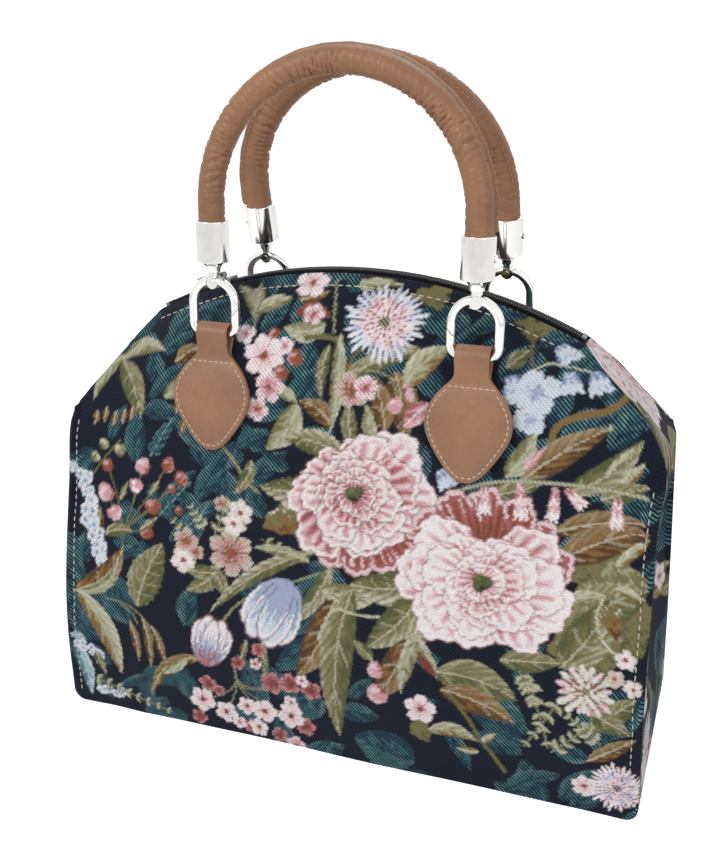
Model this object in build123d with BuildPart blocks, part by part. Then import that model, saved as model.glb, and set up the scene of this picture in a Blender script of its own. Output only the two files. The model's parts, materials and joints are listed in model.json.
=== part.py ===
from build123d import *
from math import asin, atan2, cos, degrees, radians, sin, sqrt
import os

# A tapestry carpet bag with a zipped dome top, two rolled leather handles and four leather tabs.
# Millimetres. The origin is the middle of the base on the floor, +X runs to the right seen from
# the front, the front faces -Y and +Z is up.

# Bag outline, seen from the front
base_width = 336.0
side_lean = 5.0
dome_height = 262.0
dome_rise = 28.0
zip_span = 238.0
shoulder_drop = 54.0
base_corner_radius = 7.0
shoulder_radius = 26.0
bend_drop_share = 0.45
end_draw_share = 0.75

# Bag depth, seen from the side at the middle: height above the floor and half depth there, drawn
# for one dome height and stretched upwards for another
top_half_depth = 8.0
profile_drawn_height = 262.0
drawn_profile = [
    (0.0, 63.5),
    (45.0, 64.5),
    (117.0, 57.5),
    (182.0, 47.6),
    (225.0, 37.5),
    (244.0, 26.5),
    (254.0, 17.5),
]
foot_below_floor = 4.0
section_count = 6
section_overhang = 8.0
outer_lift = 4.0
inner_lift = 6.0

# Cloth, lining and the board in the base
cloth = 2.4
lining_cloth = 0.8
layer_gap = 0.2
board_thickness = 2.2
board_margin = 4.0
board_corner = 12.0
dish_radius = 170.0
dish_depth = 12.0
dish_height = 110.0
lining_drop = 14.0

# Zip along the dome
tape_thickness = 0.6
tape_drop = 1.0
tape_half_width = 6.2
tape_split = 0.9
coil_lift = 0.1
coil_width = 2.7
coil_height = 2.3
coil_split = 0.5
zip_end_gap = 0.3
stop_length = 2.2
stop_rise = 0.3
slider_length = 13.0
slider_half_width = 4.8
slider_plate = 1.2
slider_clearance = 0.3
slider_rest_x = -82.0
slider_wedge_clearance = 0.1
bail_height = 3.4
bail_width = 1.8
bail_length = 6.4
bail_sink = 1.1
bail_foot_share = 0.7
bail_hole_radius = 1.3
pull_length = 16.0
pull_width = 6.6
pull_thickness = 1.6
pull_bar_radius = 0.95
pull_bar_overlap = 1.2
pull_slot_length = 9.0
pull_slot_clearance = 0.5
pull_hole_radius = 1.3
pull_hole_share = 0.76
pull_tilt = 4.0

# Leather tabs that hold the rings
tab_spacing = 140.0
tab_leather = 1.6
tab_clearance = 0.3
tab_neck_width = 17.6
tab_neck_length = 10.0
tab_stitch_drop = 14.5
tab_stitch_width = 27.0
tab_width = 44.5
tab_widest_drop = 34.0
tab_length = 64.0
tab_point_rise = 11.0
tab_point_share = 0.3
tab_seat_shares = (0, 0.16, 0.32, 0.52, 0.76, 1.0)
loop_inner_radius = 3.9
axis_standoff = 3.0

# Rings, their sprung gates and the swivels under the ferrules
ring_wire_radius = 2.5
ring_width = 24.0
ring_corner_radius = 5.0
ring_arch_height = 15.5
ring_crown_angle = 14.0
gate_wire_radius = 2.3
gate_crown_angle = 10.0
gate_pivot_height = 26.4
gate_eye_radius = 3.1
gate_tongue = 1.9
gate_slot_clearance = 0.1
gate_notch_height = 11.0
gate_notch_slope = 45.0
gate_notch_gap = 0.3
gate_overlap = 4.0
notch_cutter = (16.0, 10.0, 8.0)
cheek_depth = 4.0
cheek_clearance = 0.3
shoulder_size = 2.6
shoulder_lift = 0.4
neck_width = 3.4
pin_radius = 0.8
pin_clearance = 0.06
pin_head = 0.3
pin_head_radius = 1.36
gate_spring_thickness = 0.3
gate_spring_start = 3.55
gate_spring_end = 6.45
gate_spring_rise = 1.5
gate_spring_drop = 0.9
spring_pocket = (3.6, 2.2)
collar_radius = 2.8
collar_bottom = 30.0
collar_top = 31.9
swivel_gap = 0.2
swivel_shank_radius = 1.6
swivel_clearance = 0.08
swivel_head_radius = 3.0
swivel_head_height = 1.4
swivel_head_clearance = 0.4
swivel_sink = 0.3

# Ferrules and rolled handles
bell_length = 5.2
bell_radii = (3.6, 4.5, 6.6)
bell_waist_share = 0.62
ferrule_groove_radius = 7.5
ferrule_groove_depth = 1.2
ferrule_rim = 0.5
ferrule_radius = 8.4
ferrule_length = 21.0
ferrule_floor = 3.2
ferrule_seat = 0.1
handle_end_gap = 0.3
handle_radius = 6.9
handle_fit = 0.1
core_radius = 5.2
core_fit = 0.1
arch_rise = 66.8
seam_width = 2.2
seam_height = 2.4
seam_turn = 35.0
seam_sink = 0.3
seam_start_gap = 0.5
screw_radius = 0.95
screw_clearance = 0.05
screw_bite = 1.0
screw_stand_off = 0.3
screw_head_radius = 1.9
screw_head_height = 0.8
front_lean = 4.0
back_lean = 11.8

# Values that follow from the sizes above
half_width = base_width / 2
zip_half = zip_span / 2
zip_end_height = dome_height - dome_rise
shoulder_height = zip_end_height - shoulder_drop
profile_stretch = dome_height / profile_drawn_height
depth_profile = [(height * profile_stretch, half) for height, half in drawn_profile]
dome_radius = (zip_half**2 + dome_rise**2) / (2 * dome_rise)
dome_centre = dome_height - dome_radius
dome_axis = Axis((0, 0, dome_centre), (0, 1, 0))
zip_end_angle = degrees(asin(zip_half / dome_radius))
tab_x = tab_spacing / 2
floor_gap = cloth + board_thickness + 2 * layer_gap
slot_half_depth = 1.0


def dome_top(x):
    return dome_centre + sqrt(max(dome_radius**2 - x**2, 0))


def profile_height(x, height):
    # The side profile at x: its top follows the dome, its foot stays on the floor.
    shift = dome_height - dome_top(x)
    return height - shift * (height / dome_height) ** 2


def depth_points(x, inset, lift):
    points = [(depth_profile[0][1] - inset, -foot_below_floor)]
    points += [(half - inset, profile_height(x, height)) for height, half in depth_profile]
    points.append((top_half_depth - inset, dome_top(x)))
    points.append((max(top_half_depth - inset - lift, slot_half_depth), dome_top(x) + lift))
    return points


def depth_body(inset, lift):
    # The cloth's side-to-side form without its outline: lofted side profiles, cut later.
    reach = half_width + section_overhang
    with BuildPart() as body:
        for i in range(section_count + 1):
            x = -reach + 2 * reach * i / section_count
            right = depth_points(x, inset, lift)
            left = [(-y, z) for y, z in reversed(right)]
            with BuildSketch(Plane.YZ.offset(x)):
                with BuildLine():
                    Spline(*right)
                    Line(right[-1], left[0])
                    Spline(*left)
                    Line(left[-1], right[0])
                make_face()
        loft()
    return body.part


def outline_body(inset, floor):
    # The bag's front outline drawn at an inset and run through the whole depth.
    foot = half_width - inset
    bend = half_width - side_lean - inset
    shoulder_slope = atan2(zip_end_height - shoulder_height, half_width - side_lean - zip_half)
    bend_z = shoulder_height - inset * bend_drop_share
    end_x = zip_half - inset * sin(shoulder_slope) * end_draw_share
    end_z = dome_centre + sqrt((dome_radius - inset) ** 2 - end_x**2)
    with BuildPart() as body:
        with BuildSketch(Plane.XZ):
            with BuildLine():
                Line((-foot, floor), (foot, floor))
                Line((foot, floor), (bend, bend_z))
                Line((bend, bend_z), (end_x, end_z))
                ThreePointArc((end_x, end_z), (0, dome_height - inset), (-end_x, end_z))
                Line((-end_x, end_z), (-bend, bend_z))
                Line((-bend, bend_z), (-foot, floor))
            face = make_face()
            fillet(face.vertices().group_by(Axis.Y)[0], max(base_corner_radius - inset, 1))
        extrude(amount=half_width, both=True)
        bends = [e for e in body.edges().filter_by(Axis.Y) if abs(e.center().Z - bend_z) < 1]
        fillet(bends, shoulder_radius - inset)
    return body.part


def side_dish(side, growth):
    # The ball that presses the side gusset inwards between its two ridges.
    side_x = half_width - side_lean * dish_height / shoulder_height
    with BuildPart() as ball:
        with Locations((side * (side_x - dish_depth + dish_radius), 0, dish_height)):
            Sphere(dish_radius + growth, rotation=(0, 0, 90 - 90 * side))
    return ball.part


def finish(part, name):
    part.label = name
    export_step(part, f"parts/{name}.step")


# The tabs are sewn to the panel below its turn, so their tilt and the hinge line of the handles
# come from the side profile at the tabs.
stitch_half, stitch_z = depth_profile[4][1], profile_height(tab_x, depth_profile[4][0])
lower_half, lower_z = depth_profile[3][1], profile_height(tab_x, depth_profile[3][0])
tab_tilt = atan2(lower_half - stitch_half, stitch_z - lower_z)
hinge_y = stitch_half - tab_stitch_drop * sin(tab_tilt) + axis_standoff * cos(tab_tilt)
hinge_z = stitch_z + tab_stitch_drop * cos(tab_tilt) + axis_standoff * sin(tab_tilt)
bell_bottom = collar_top + swivel_gap
ferrule_bottom = bell_bottom + bell_length
ferrule_top = ferrule_bottom + ferrule_length
ferrule_inside = ferrule_bottom + ferrule_floor
ring_half = ring_width / 2
handles = {"front": (1, front_lean), "back": (-1, back_lean)}
sides = {"left": -1, "right": 1}


def leg_plane(sign, lean, x):
    # Local x runs along the bag, local y up the handle's leg and local z away from the bag.
    tilt = radians(lean)
    away = (0, -sign * cos(tilt), sin(tilt))
    return Plane(origin=(x, -sign * hinge_y, hinge_z), x_dir=(sign, 0, 0), z_dir=away)


def zip_plane(x):
    # Local x runs across the zip and local y out of the dome, at the place where the dome is at x.
    turn = asin(x / dome_radius)
    return Plane(origin=(0, 0, dome_centre), x_dir=(0, 1, 0), z_dir=(cos(turn), 0, -sin(turn)))


def zip_turn(x):
    return degrees(asin(x / dome_radius))


os.makedirs("parts", exist_ok=True)

# Shared forms
outer_outline = outline_body(0, 0)
outer_depth = depth_body(0, outer_lift)
under_panel = depth_body(cloth, inner_lift)
inside_panel = depth_body(cloth + layer_gap, inner_lift)
inside_ridge = depth_body(2 * cloth + layer_gap, inner_lift)

# Front and back panels: one cut of cloth each, from the floor to the zip
with BuildPart() as front_panel:
    add(outer_depth)
    add(outer_outline, mode=Mode.INTERSECT)
    add(under_panel, mode=Mode.SUBTRACT)
    split(bisect_by=Plane.XZ, keep=Keep.TOP)
finish(front_panel.part, "front_panel")

with BuildPart() as back_panel:
    add(front_panel.part.mirror(Plane.XZ))
finish(back_panel.part, "back_panel")

# Gusset: one band that runs over the base and up both sides, pinched into ridges at the sides
dish_tools = []
for side in (-1, 1):
    with BuildPart() as dish:
        add(side_dish(side, 0))
        add(inside_ridge, mode=Mode.INTERSECT)
    dish_tools.append(dish.part)

with BuildPart() as gusset_void:
    add(outline_body(cloth, cloth))
    for side in (-1, 1):
        add(side_dish(side, cloth), mode=Mode.SUBTRACT)

with BuildPart() as gusset:
    add(inside_panel)
    add(outer_outline, mode=Mode.INTERSECT)
    for tool in dish_tools:
        add(tool, mode=Mode.SUBTRACT)
    add(gusset_void.part, mode=Mode.SUBTRACT)
    with BuildSketch(Plane.XZ):
        with BuildLine():
            turn = radians(zip_end_angle)
            low = [(r * sin(turn), dome_centre + r * cos(turn)) for r in (dome_radius / 2, dome_radius * 2)]
            high = [(-x, z) for x, z in reversed(low)]
            Polyline(*low, *high, close=True)
        make_face()
    extrude(amount=half_width, both=True, mode=Mode.SUBTRACT)
finish(gusset.part, "gusset")

# Lining, open along the zip, and the board that keeps the base flat
def lining_form(depth_inset, side_inset, floor):
    with BuildPart() as form:
        add(depth_body(depth_inset, outer_lift))
        add(outline_body(side_inset, floor), mode=Mode.INTERSECT)
        for side in (-1, 1):
            add(side_dish(side, side_inset), mode=Mode.SUBTRACT)
    return form.part


with BuildPart() as lining:
    add(lining_form(cloth + 2 * layer_gap, cloth + layer_gap, floor_gap))
    add(
        lining_form(
            cloth + 2 * layer_gap + lining_cloth,
            cloth + layer_gap + lining_cloth,
            floor_gap + lining_cloth,
        ),
        mode=Mode.SUBTRACT,
    )
    with Locations(Plane(origin=(0, 0, dome_centre), z_dir=(0, 1, 0))):
        Cylinder(dome_radius - lining_drop, 2 * half_width, mode=Mode.INTERSECT)
finish(lining.part, "lining")

with BuildPart() as base_board:
    with BuildSketch(Plane.XY.offset(cloth + layer_gap)):
        board_x = base_width - 2 * (cloth + board_margin)
        board_y = 2 * (depth_profile[0][1] - cloth - board_margin)
        RectangleRounded(board_x, board_y, board_corner)
    extrude(amount=board_thickness)
finish(base_board.part, "base_board")

# Zip: two tapes, two rows of coil, the stops, the slider and its pull
zip_end_x = zip_half - zip_end_gap
coil_end_x = zip_end_x - 2 * stop_length
tape_top = dome_radius - tape_drop
coil_bottom = tape_top + coil_lift
coil_top = coil_bottom + coil_height


def along_dome(start_x, end_x, low, high, near, far_side):
    # A bar of rectangular section bent along the dome.
    plane = zip_plane(start_x)
    with BuildPart() as bar:
        with BuildSketch(plane):
            with Locations(((near + far_side) / 2, (low + high) / 2)):
                Rectangle(abs(far_side - near), high - low)
        revolve(axis=dome_axis, revolution_arc=zip_turn(end_x) - zip_turn(start_x))
    return bar.part


for label, side in (("front", -1), ("back", 1)):
    with BuildPart() as tape:
        add(along_dome(-zip_end_x, zip_end_x, tape_top - tape_thickness, tape_top,
                       side * tape_split, side * tape_half_width))
    finish(tape.part, f"zip_tape_{label}")

    with BuildPart() as coil:
        add(along_dome(-coil_end_x, coil_end_x, coil_bottom, coil_top,
                       side * coil_split, side * (coil_split + coil_width)))
        rounded = [edge for edge in coil.edges().filter_by(GeomType.CIRCLE) if edge.radius > coil_bottom + 1]
        fillet(rounded, coil_width / 3)
    finish(coil.part, f"zip_coil_{label}")

for label, start in (("closed", -zip_end_x + stop_length / 2), ("open", zip_end_x - stop_length * 1.5)):
    with BuildPart() as stop:
        stop_half = coil_split + coil_width + stop_rise
        add(along_dome(start, start + stop_length, coil_bottom, coil_top + stop_rise, -stop_half, stop_half))
    finish(stop.part, f"zip_stop_{label}_end")

slider_start = slider_rest_x - slider_length / 2
slider_end = slider_rest_x + slider_length / 2
channel_top = coil_top + slider_clearance
channel_bottom = tape_top - tape_thickness - slider_clearance
slider_top = channel_top + slider_plate
wall_inner = coil_split + coil_width + slider_clearance
bail_eye = slider_top + bail_height - bail_sink
wedge_half = coil_split - slider_wedge_clearance
with BuildPart() as zip_slider:
    add(along_dome(slider_start, slider_end, channel_top, slider_top, -slider_half_width, slider_half_width))
    add(along_dome(slider_start, slider_end, channel_bottom - slider_plate, channel_bottom,
                   -slider_half_width, slider_half_width))
    for side in (-1, 1):
        add(along_dome(slider_start, slider_end, tape_top + slider_clearance, slider_top,
                       side * wall_inner, side * slider_half_width))
    add(along_dome(slider_start, slider_start + slider_length / 4, channel_bottom - slider_plate, slider_top,
                   -wedge_half, wedge_half))
    with BuildSketch(Plane(origin=(0, -bail_width / 2, 0), x_dir=(1, 0, 0), z_dir=(0, -1, 0))):
        bail_turn = asin(slider_rest_x / dome_radius)
        bail_place = (bail_eye * sin(bail_turn), dome_centre + bail_eye * cos(bail_turn))
        with Locations(Location((*bail_place, 0), -degrees(bail_turn))):
            SlotOverall(bail_length, bail_height)
            with Locations((0, -bail_height / 2)):
                Rectangle(bail_length * bail_foot_share, bail_height)
            Circle(bail_hole_radius, mode=Mode.SUBTRACT)
    extrude(amount=-bail_width)
finish(zip_slider.part, "zip_slider")

pull_turn = -bail_turn - radians(pull_tilt)
pull_plane = Plane(
    origin=(bail_place[0], 0, bail_place[1]),
    x_dir=(-cos(pull_turn), 0, -sin(pull_turn)),
    z_dir=(-sin(pull_turn), 0, cos(pull_turn)),
)
with BuildPart() as zip_pull:
    with BuildSketch(pull_plane.offset(-pull_thickness / 2)):
        with Locations((pull_length / 2 - pull_bar_radius, 0)):
            SlotOverall(pull_length, pull_width)
        Rectangle(pull_slot_length, bail_width + 2 * pull_slot_clearance, mode=Mode.SUBTRACT)
        with Locations((pull_length * pull_hole_share, 0)):
            Circle(pull_hole_radius, mode=Mode.SUBTRACT)
    extrude(amount=pull_thickness)
    with Locations(Plane(origin=pull_plane.origin, z_dir=(0, 1, 0))):
        Cylinder(pull_bar_radius, bail_width + 2 * pull_bar_overlap)
finish(zip_pull.part, "zip_pull")


# Leather tabs: one strap each, folded over the ring's lower bar and sewn down along the panel
def panel_half_depth(x, z):
    line = Axis((x, -base_width, z), (0, 1, 0))
    return max(-point.Y for point, _ in front_panel.part.solids()[0].find_intersection_points(line))


def tab_half_width(drop):
    if drop < tab_widest_drop:
        share = (drop - tab_stitch_drop) / (tab_widest_drop - tab_stitch_drop)
        return tab_stitch_width / 2 + share * (tab_width - tab_stitch_width) / 2
    return tab_width / 2 * sqrt(max(1 - ((drop - tab_widest_drop) / (tab_length - tab_widest_drop)) ** 2, 0))


def tab_seat():
    # Points of the tab's back in its own side view: away from the hinge line's plane, and down.
    points = []
    for share in tab_seat_shares:
        drop = tab_stitch_drop + share * (tab_length - tab_stitch_drop)
        z = hinge_z - drop * cos(tab_tilt)
        depth = max(panel_half_depth(tab_x - reach, z) for reach in (0, tab_half_width(drop)))
        lift = (depth - hinge_y) * cos(tab_tilt) + (z - hinge_z) * sin(tab_tilt) + tab_clearance
        points.append((lift, -((depth - hinge_y) * sin(tab_tilt) + (hinge_z - z) * cos(tab_tilt))))
    return points


seat = tab_seat()


def make_tab(sign, x):
    normal = Vector(0, -sign * cos(tab_tilt), sin(tab_tilt))
    origin = Vector(x, -sign * hinge_y, hinge_z)
    face_plane = Plane(origin=origin, x_dir=(sign, 0, 0), z_dir=normal)
    side_plane = Plane(origin=origin, x_dir=normal, z_dir=(-sign, 0, 0))
    loop_outer = loop_inner_radius + tab_leather
    top_lift, top_drop = seat[0]
    middle = top_lift + tab_leather
    front = [(lift + 2 * tab_leather, drop) for lift, drop in seat]
    with BuildPart() as tab:
        with BuildSketch(side_plane):
            Circle(loop_outer)
            with Locations((middle, top_drop + 0.5)):
                Rectangle(2 * tab_leather, 1)
            make_hull()
        extrude(amount=tab_width, both=True)
        with BuildSketch(side_plane):
            with BuildLine():
                Spline(*seat)
                Line(seat[-1], front[-1])
                Spline(*front)
                Line(front[0], seat[0])
            make_face()
        extrude(amount=tab_width, both=True)
        with BuildSketch(side_plane):
            Circle(loop_inner_radius)
            with Locations((middle, top_drop + 1.5)):
                Circle(0.1)
            make_hull()
        extrude(amount=tab_width, both=True, mode=Mode.SUBTRACT)
        with BuildSketch(face_plane):
            with BuildLine():
                neck = (tab_neck_width / 2, -tab_neck_length)
                Line((0, loop_outer + 1), (neck[0], loop_outer + 1))
                Line((neck[0], loop_outer + 1), neck)
                Spline(
                    neck,
                    (tab_stitch_width / 2, -tab_stitch_drop - 1),
                    (tab_width / 2, -tab_widest_drop),
                    (tab_width * tab_point_share, -tab_length + tab_point_rise),
                    (0, -tab_length),
                    tangents=((0.5, -1), (-1, -0.35)),
                )
                mirror(about=Plane.YZ)
            make_face()
        extrude(amount=2 * loop_outer, both=True, mode=Mode.INTERSECT)
    return tab.part


# Rings: a fixed body with the swivel's collar, and a gate that opens inwards on its own pin
def make_ring(plane, gate):
    corner = ring_half - ring_corner_radius
    with BuildPart() as ring:
        with BuildLine(plane) as path:
            crown = 90 + ring_crown_angle * gate
            CenterArc((0, ring_arch_height), ring_half, crown, (90 - ring_crown_angle) * gate)
            Line((-gate * ring_half, ring_arch_height), (-gate * ring_half, ring_corner_radius))
            CenterArc((-gate * corner, ring_corner_radius), ring_corner_radius, 90 + 90 * gate, 90 * gate)
            Line((-gate * corner, 0), (gate * corner, 0))
            CenterArc((gate * corner, ring_corner_radius), ring_corner_radius, 270, 90 * gate)
            Line((gate * ring_half, ring_corner_radius), (gate * ring_half, gate_notch_height + gate_overlap))
        with BuildSketch(path.line ^ 0):
            Circle(ring_wire_radius)
        sweep()
        low = (gate * ring_half, gate_notch_height, 0)
        with Locations(plane * Location(low, (0, 0, gate * gate_notch_slope))):
            with Locations((0, notch_cutter[1] / 2)):
                Box(*notch_cutter, mode=Mode.SUBTRACT)
        for face in (-1, 1):
            with Locations(plane * Location((0, gate_pivot_height, face * (gate_tongue + cheek_depth) / 2))):
                Cylinder(gate_eye_radius + cheek_clearance, cheek_depth, mode=Mode.SUBTRACT)
        with Locations(plane * Location((0, gate_pivot_height, 0))):
            Cylinder(gate_eye_radius - gate_slot_clearance, gate_tongue)
        with Locations(plane * Location((-gate * shoulder_size, gate_pivot_height + shoulder_lift, 0))):
            Box(shoulder_size, shoulder_size, gate_tongue)
        neck = collar_bottom + swivel_sink - gate_pivot_height
        with Locations(plane * Location((0, gate_pivot_height + neck / 2, 0))):
            Box(neck_width, neck, gate_tongue)
        collar = collar_top - collar_bottom
        with Locations(plane * Location((0, (collar_top + collar_bottom) / 2, 0), (90, 0, 0))):
            Cylinder(collar_radius, collar)
        with Locations(plane * Location((0, collar_top, 0), (90, 0, 0))):
            Cylinder(swivel_shank_radius, 2 * (collar - swivel_sink), mode=Mode.SUBTRACT)
        with Locations(plane * Location((0, gate_pivot_height, 0))):
            Cylinder(pin_radius + pin_clearance, 2 * ring_wire_radius, mode=Mode.SUBTRACT)
    return ring.part


def make_gate(plane, gate):
    slot = gate_tongue + 2 * gate_slot_clearance
    with BuildPart() as arm:
        with BuildLine(plane) as path:
            crown = 90 - gate_crown_angle * gate
            CenterArc((0, ring_arch_height), ring_half, crown, (gate_crown_angle - 90) * gate)
            Line((gate * ring_half, ring_arch_height), (gate * ring_half, gate_notch_height - gate_overlap))
        with BuildSketch(path.line ^ 0):
            Circle(gate_wire_radius)
        sweep()
        low = (gate * ring_half, gate_notch_height, 0)
        with Locations(plane * Location(low, (0, 0, gate * gate_notch_slope))):
            with Locations((0, gate_notch_gap - notch_cutter[1] / 2)):
                Box(*notch_cutter, mode=Mode.SUBTRACT)
        with Locations(plane * Location((0, gate_pivot_height, 0))):
            Cylinder(gate_eye_radius, 2 * gate_wire_radius)
            Cylinder(gate_eye_radius + cheek_clearance, slot, mode=Mode.SUBTRACT)
            Cylinder(pin_radius, 3 * gate_wire_radius, mode=Mode.SUBTRACT)
        pocket_place = gate * (gate_spring_start + gate_spring_end) / 2
        with Locations(plane * Location((pocket_place, gate_pivot_height, 0))):
            Box(*spring_pocket, slot, mode=Mode.SUBTRACT)
    return arm.part


def make_pin(plane):
    with BuildPart() as pin:
        with Locations(plane * Location((0, gate_pivot_height, 0))):
            Cylinder(pin_radius, 2 * gate_wire_radius)
        head_place = gate_wire_radius + pin_head / 2
        for face in (-1, 1):
            with Locations(plane * Location((0, gate_pivot_height, face * head_place))):
                Cylinder(pin_head_radius, pin_head)
    return pin.part


def make_gate_spring(plane, gate):
    with BuildPart() as spring:
        with BuildSketch(plane.offset(-gate_tongue / 2)):
            with BuildLine():
                near, far_end, thin = gate_spring_start, gate_spring_end, gate_spring_thickness
                middle = (near + far_end) / 2
                low = gate_pivot_height - gate_spring_drop
                high = low + gate_spring_rise
                outer = [(gate * near, low), (gate * middle, high), (gate * far_end, low)]
                turn_in, turn_out = far_end - thin, near + thin
                inner = [(gate * turn_in, low), (gate * middle, high - thin), (gate * turn_out, low)]
                ThreePointArc(*outer)
                Line(outer[2], inner[0])
                ThreePointArc(*inner)
                Line(inner[2], outer[0])
            make_face()
        extrude(amount=gate_tongue)
    return spring.part


def make_swivel(plane):
    head_bottom = ferrule_bottom + swivel_gap
    shank_bottom = collar_bottom + swivel_sink
    with BuildPart() as swivel:
        with Locations(plane * Location((0, (shank_bottom + head_bottom) / 2, 0), (90, 0, 0))):
            Cylinder(swivel_shank_radius, head_bottom - shank_bottom)
        with Locations(plane * Location((0, head_bottom + swivel_head_height / 2, 0), (90, 0, 0))):
            Cylinder(swivel_head_radius, swivel_head_height)
    return swivel.part


def screw_hole(plane, outward):
    mouth = (outward * ferrule_radius, ferrule_bottom + ferrule_length / 2, 0)
    depth = ferrule_radius - core_radius + screw_bite + screw_stand_off
    with Locations(plane * Location(mouth, (0, 90, 0))):
        Cylinder(screw_radius + screw_clearance, 2 * depth, mode=Mode.SUBTRACT)


def make_ferrule(plane, outward):
    with BuildPart() as ferrule:
        with BuildSketch(plane):
            with BuildLine():
                bore = swivel_shank_radius + swivel_clearance
                pocket = swivel_head_radius + swivel_head_clearance
                socket = handle_radius + handle_fit
                mouth, waist, foot = bell_radii
                groove_top = ferrule_bottom + ferrule_groove_depth
                Line((bore, bell_bottom), (mouth, bell_bottom))
                ThreePointArc(
                    (mouth, bell_bottom),
                    (waist, bell_bottom + bell_length * bell_waist_share),
                    (foot, ferrule_bottom),
                )
                Polyline(
                    (foot, ferrule_bottom),
                    (foot, groove_top),
                    (ferrule_groove_radius, groove_top),
                    (ferrule_groove_radius, ferrule_bottom),
                    (ferrule_radius, ferrule_bottom),
                    (ferrule_radius, ferrule_top),
                    (socket, ferrule_top),
                    (socket, ferrule_inside),
                    (pocket, ferrule_inside),
                    (pocket, ferrule_bottom + ferrule_seat),
                    (bore, ferrule_bottom + ferrule_seat),
                    (bore, bell_bottom),
                )
            make_face()
        revolve(axis=Axis(plane.origin, plane.y_dir))
        rims = ferrule.edges().filter_by(GeomType.CIRCLE).sort_by(lambda e: -e.radius)[0:2]
        fillet(rims, ferrule_rim)
        screw_hole(plane, outward)
    return ferrule.part


for end, (sign, lean) in handles.items():
    for hand, side in sides.items():
        x = side * tab_x
        plane = leg_plane(sign, lean, x)
        gate = -sign * side
        tag = f"{end}_{hand}"
        finish(make_tab(sign, x), f"tab_{tag}")
        finish(make_ring(plane, gate), f"ring_{tag}")
        finish(make_gate(plane, gate), f"gate_{tag}")
        finish(make_pin(plane), f"gate_pin_{tag}")
        finish(make_gate_spring(plane, gate), f"gate_spring_{tag}")
        finish(make_swivel(plane), f"swivel_{tag}")
        finish(make_ferrule(plane, -gate), f"ferrule_{tag}")


# Rolled handles: a leather tube sewn along its back over a rope core
def handle_path(plane, start):
    with BuildLine(plane) as path:
        Line((-tab_x, start), (-tab_x, arch_rise))
        CenterArc((0, arch_rise), tab_x, 180, -180)
        Line((tab_x, arch_rise), (tab_x, start))
    return path.line


for end, (sign, lean) in handles.items():
    plane = leg_plane(sign, lean, 0)
    tube_start = ferrule_inside + handle_end_gap
    seam_start = ferrule_top + seam_start_gap
    holes = [leg_plane(sign, lean, side * tab_x) for side in (-sign, sign)]
    with BuildPart() as leather:
        route = handle_path(plane, tube_start)
        start = Plane(origin=route @ 0, x_dir=-plane.x_dir, z_dir=route % 0)
        with BuildSketch(start):
            Circle(handle_radius)
            Circle(core_radius + core_fit, mode=Mode.SUBTRACT)
        sweep(path=route)
        seam_route = handle_path(plane, seam_start)
        seam_plane = Plane(origin=seam_route @ 0, x_dir=-plane.x_dir, z_dir=seam_route % 0)
        with BuildSketch(seam_plane):
            with PolarLocations(handle_radius + seam_height / 2 - seam_sink, 1, start_angle=-seam_turn):
                Rectangle(seam_height + 2 * seam_sink, seam_width)
        sweep(path=seam_route)
        screw_hole(holes[0], -1)
        screw_hole(holes[1], 1)
    finish(leather.part, f"handle_leather_{end}")

    with BuildPart() as core:
        with BuildSketch(start):
            Circle(core_radius)
        sweep(path=route)
        screw_hole(holes[0], -1)
        screw_hole(holes[1], 1)
    finish(core.part, f"handle_core_{end}")

    with BuildPart() as screws:
        height = ferrule_bottom + ferrule_length / 2
        tip = core_radius - screw_bite
        shank_end = ferrule_radius + screw_stand_off
        head_middle = ferrule_radius + screw_head_height / 2
        for hole, outward in ((holes[0], -1), (holes[1], 1)):
            with Locations(hole * Location((outward * (tip + shank_end) / 2, height, 0), (0, 90, 0))):
                Cylinder(screw_radius, shank_end - tip)
            with Locations(hole * Location((outward * head_middle, height, 0), (0, 90, 0))):
                Cylinder(screw_head_radius, screw_head_height)
    finish(screws.part, f"ferrule_screws_{end}")
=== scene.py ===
# %% [markdown]
# # A tapestry carpet bag
# The bag stands on a flat base, its front and back are two panels of flowered tapestry, and a
# gusset of the same cloth makes both ends and the base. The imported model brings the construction,
# the metal and every joint. Blender adds what cloth and leather look like: the woven flowers,
# the stitches, the turns of the zip, the gathers of the rolled handles.

# %% The frame
import json
from math import atan2, cos, hypot, pi, radians, sin

import bpy
import numpy as np
from mathutils import Matrix, Vector
from mathutils.bvhtree import BVHTree
from mathutils.geometry import convex_hull_2d, delaunay_2d_cdt
from mathutils.kdtree import KDTree


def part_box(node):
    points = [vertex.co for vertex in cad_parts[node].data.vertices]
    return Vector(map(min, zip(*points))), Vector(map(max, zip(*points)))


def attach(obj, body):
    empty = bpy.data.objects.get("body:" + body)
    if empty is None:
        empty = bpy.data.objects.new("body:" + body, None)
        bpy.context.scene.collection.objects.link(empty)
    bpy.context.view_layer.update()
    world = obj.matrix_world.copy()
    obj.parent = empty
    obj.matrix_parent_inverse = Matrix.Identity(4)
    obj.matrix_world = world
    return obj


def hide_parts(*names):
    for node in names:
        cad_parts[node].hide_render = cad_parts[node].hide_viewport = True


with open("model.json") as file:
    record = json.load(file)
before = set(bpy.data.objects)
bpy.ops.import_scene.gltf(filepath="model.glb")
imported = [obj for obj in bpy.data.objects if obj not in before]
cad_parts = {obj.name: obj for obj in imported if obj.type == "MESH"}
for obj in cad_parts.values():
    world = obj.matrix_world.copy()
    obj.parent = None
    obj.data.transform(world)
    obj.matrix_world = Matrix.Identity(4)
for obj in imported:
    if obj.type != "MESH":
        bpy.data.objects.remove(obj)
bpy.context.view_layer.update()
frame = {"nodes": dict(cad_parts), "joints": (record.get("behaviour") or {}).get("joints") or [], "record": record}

MM = 0.001
joints = {joint["name"]: joint for joint in frame["joints"]}

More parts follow.
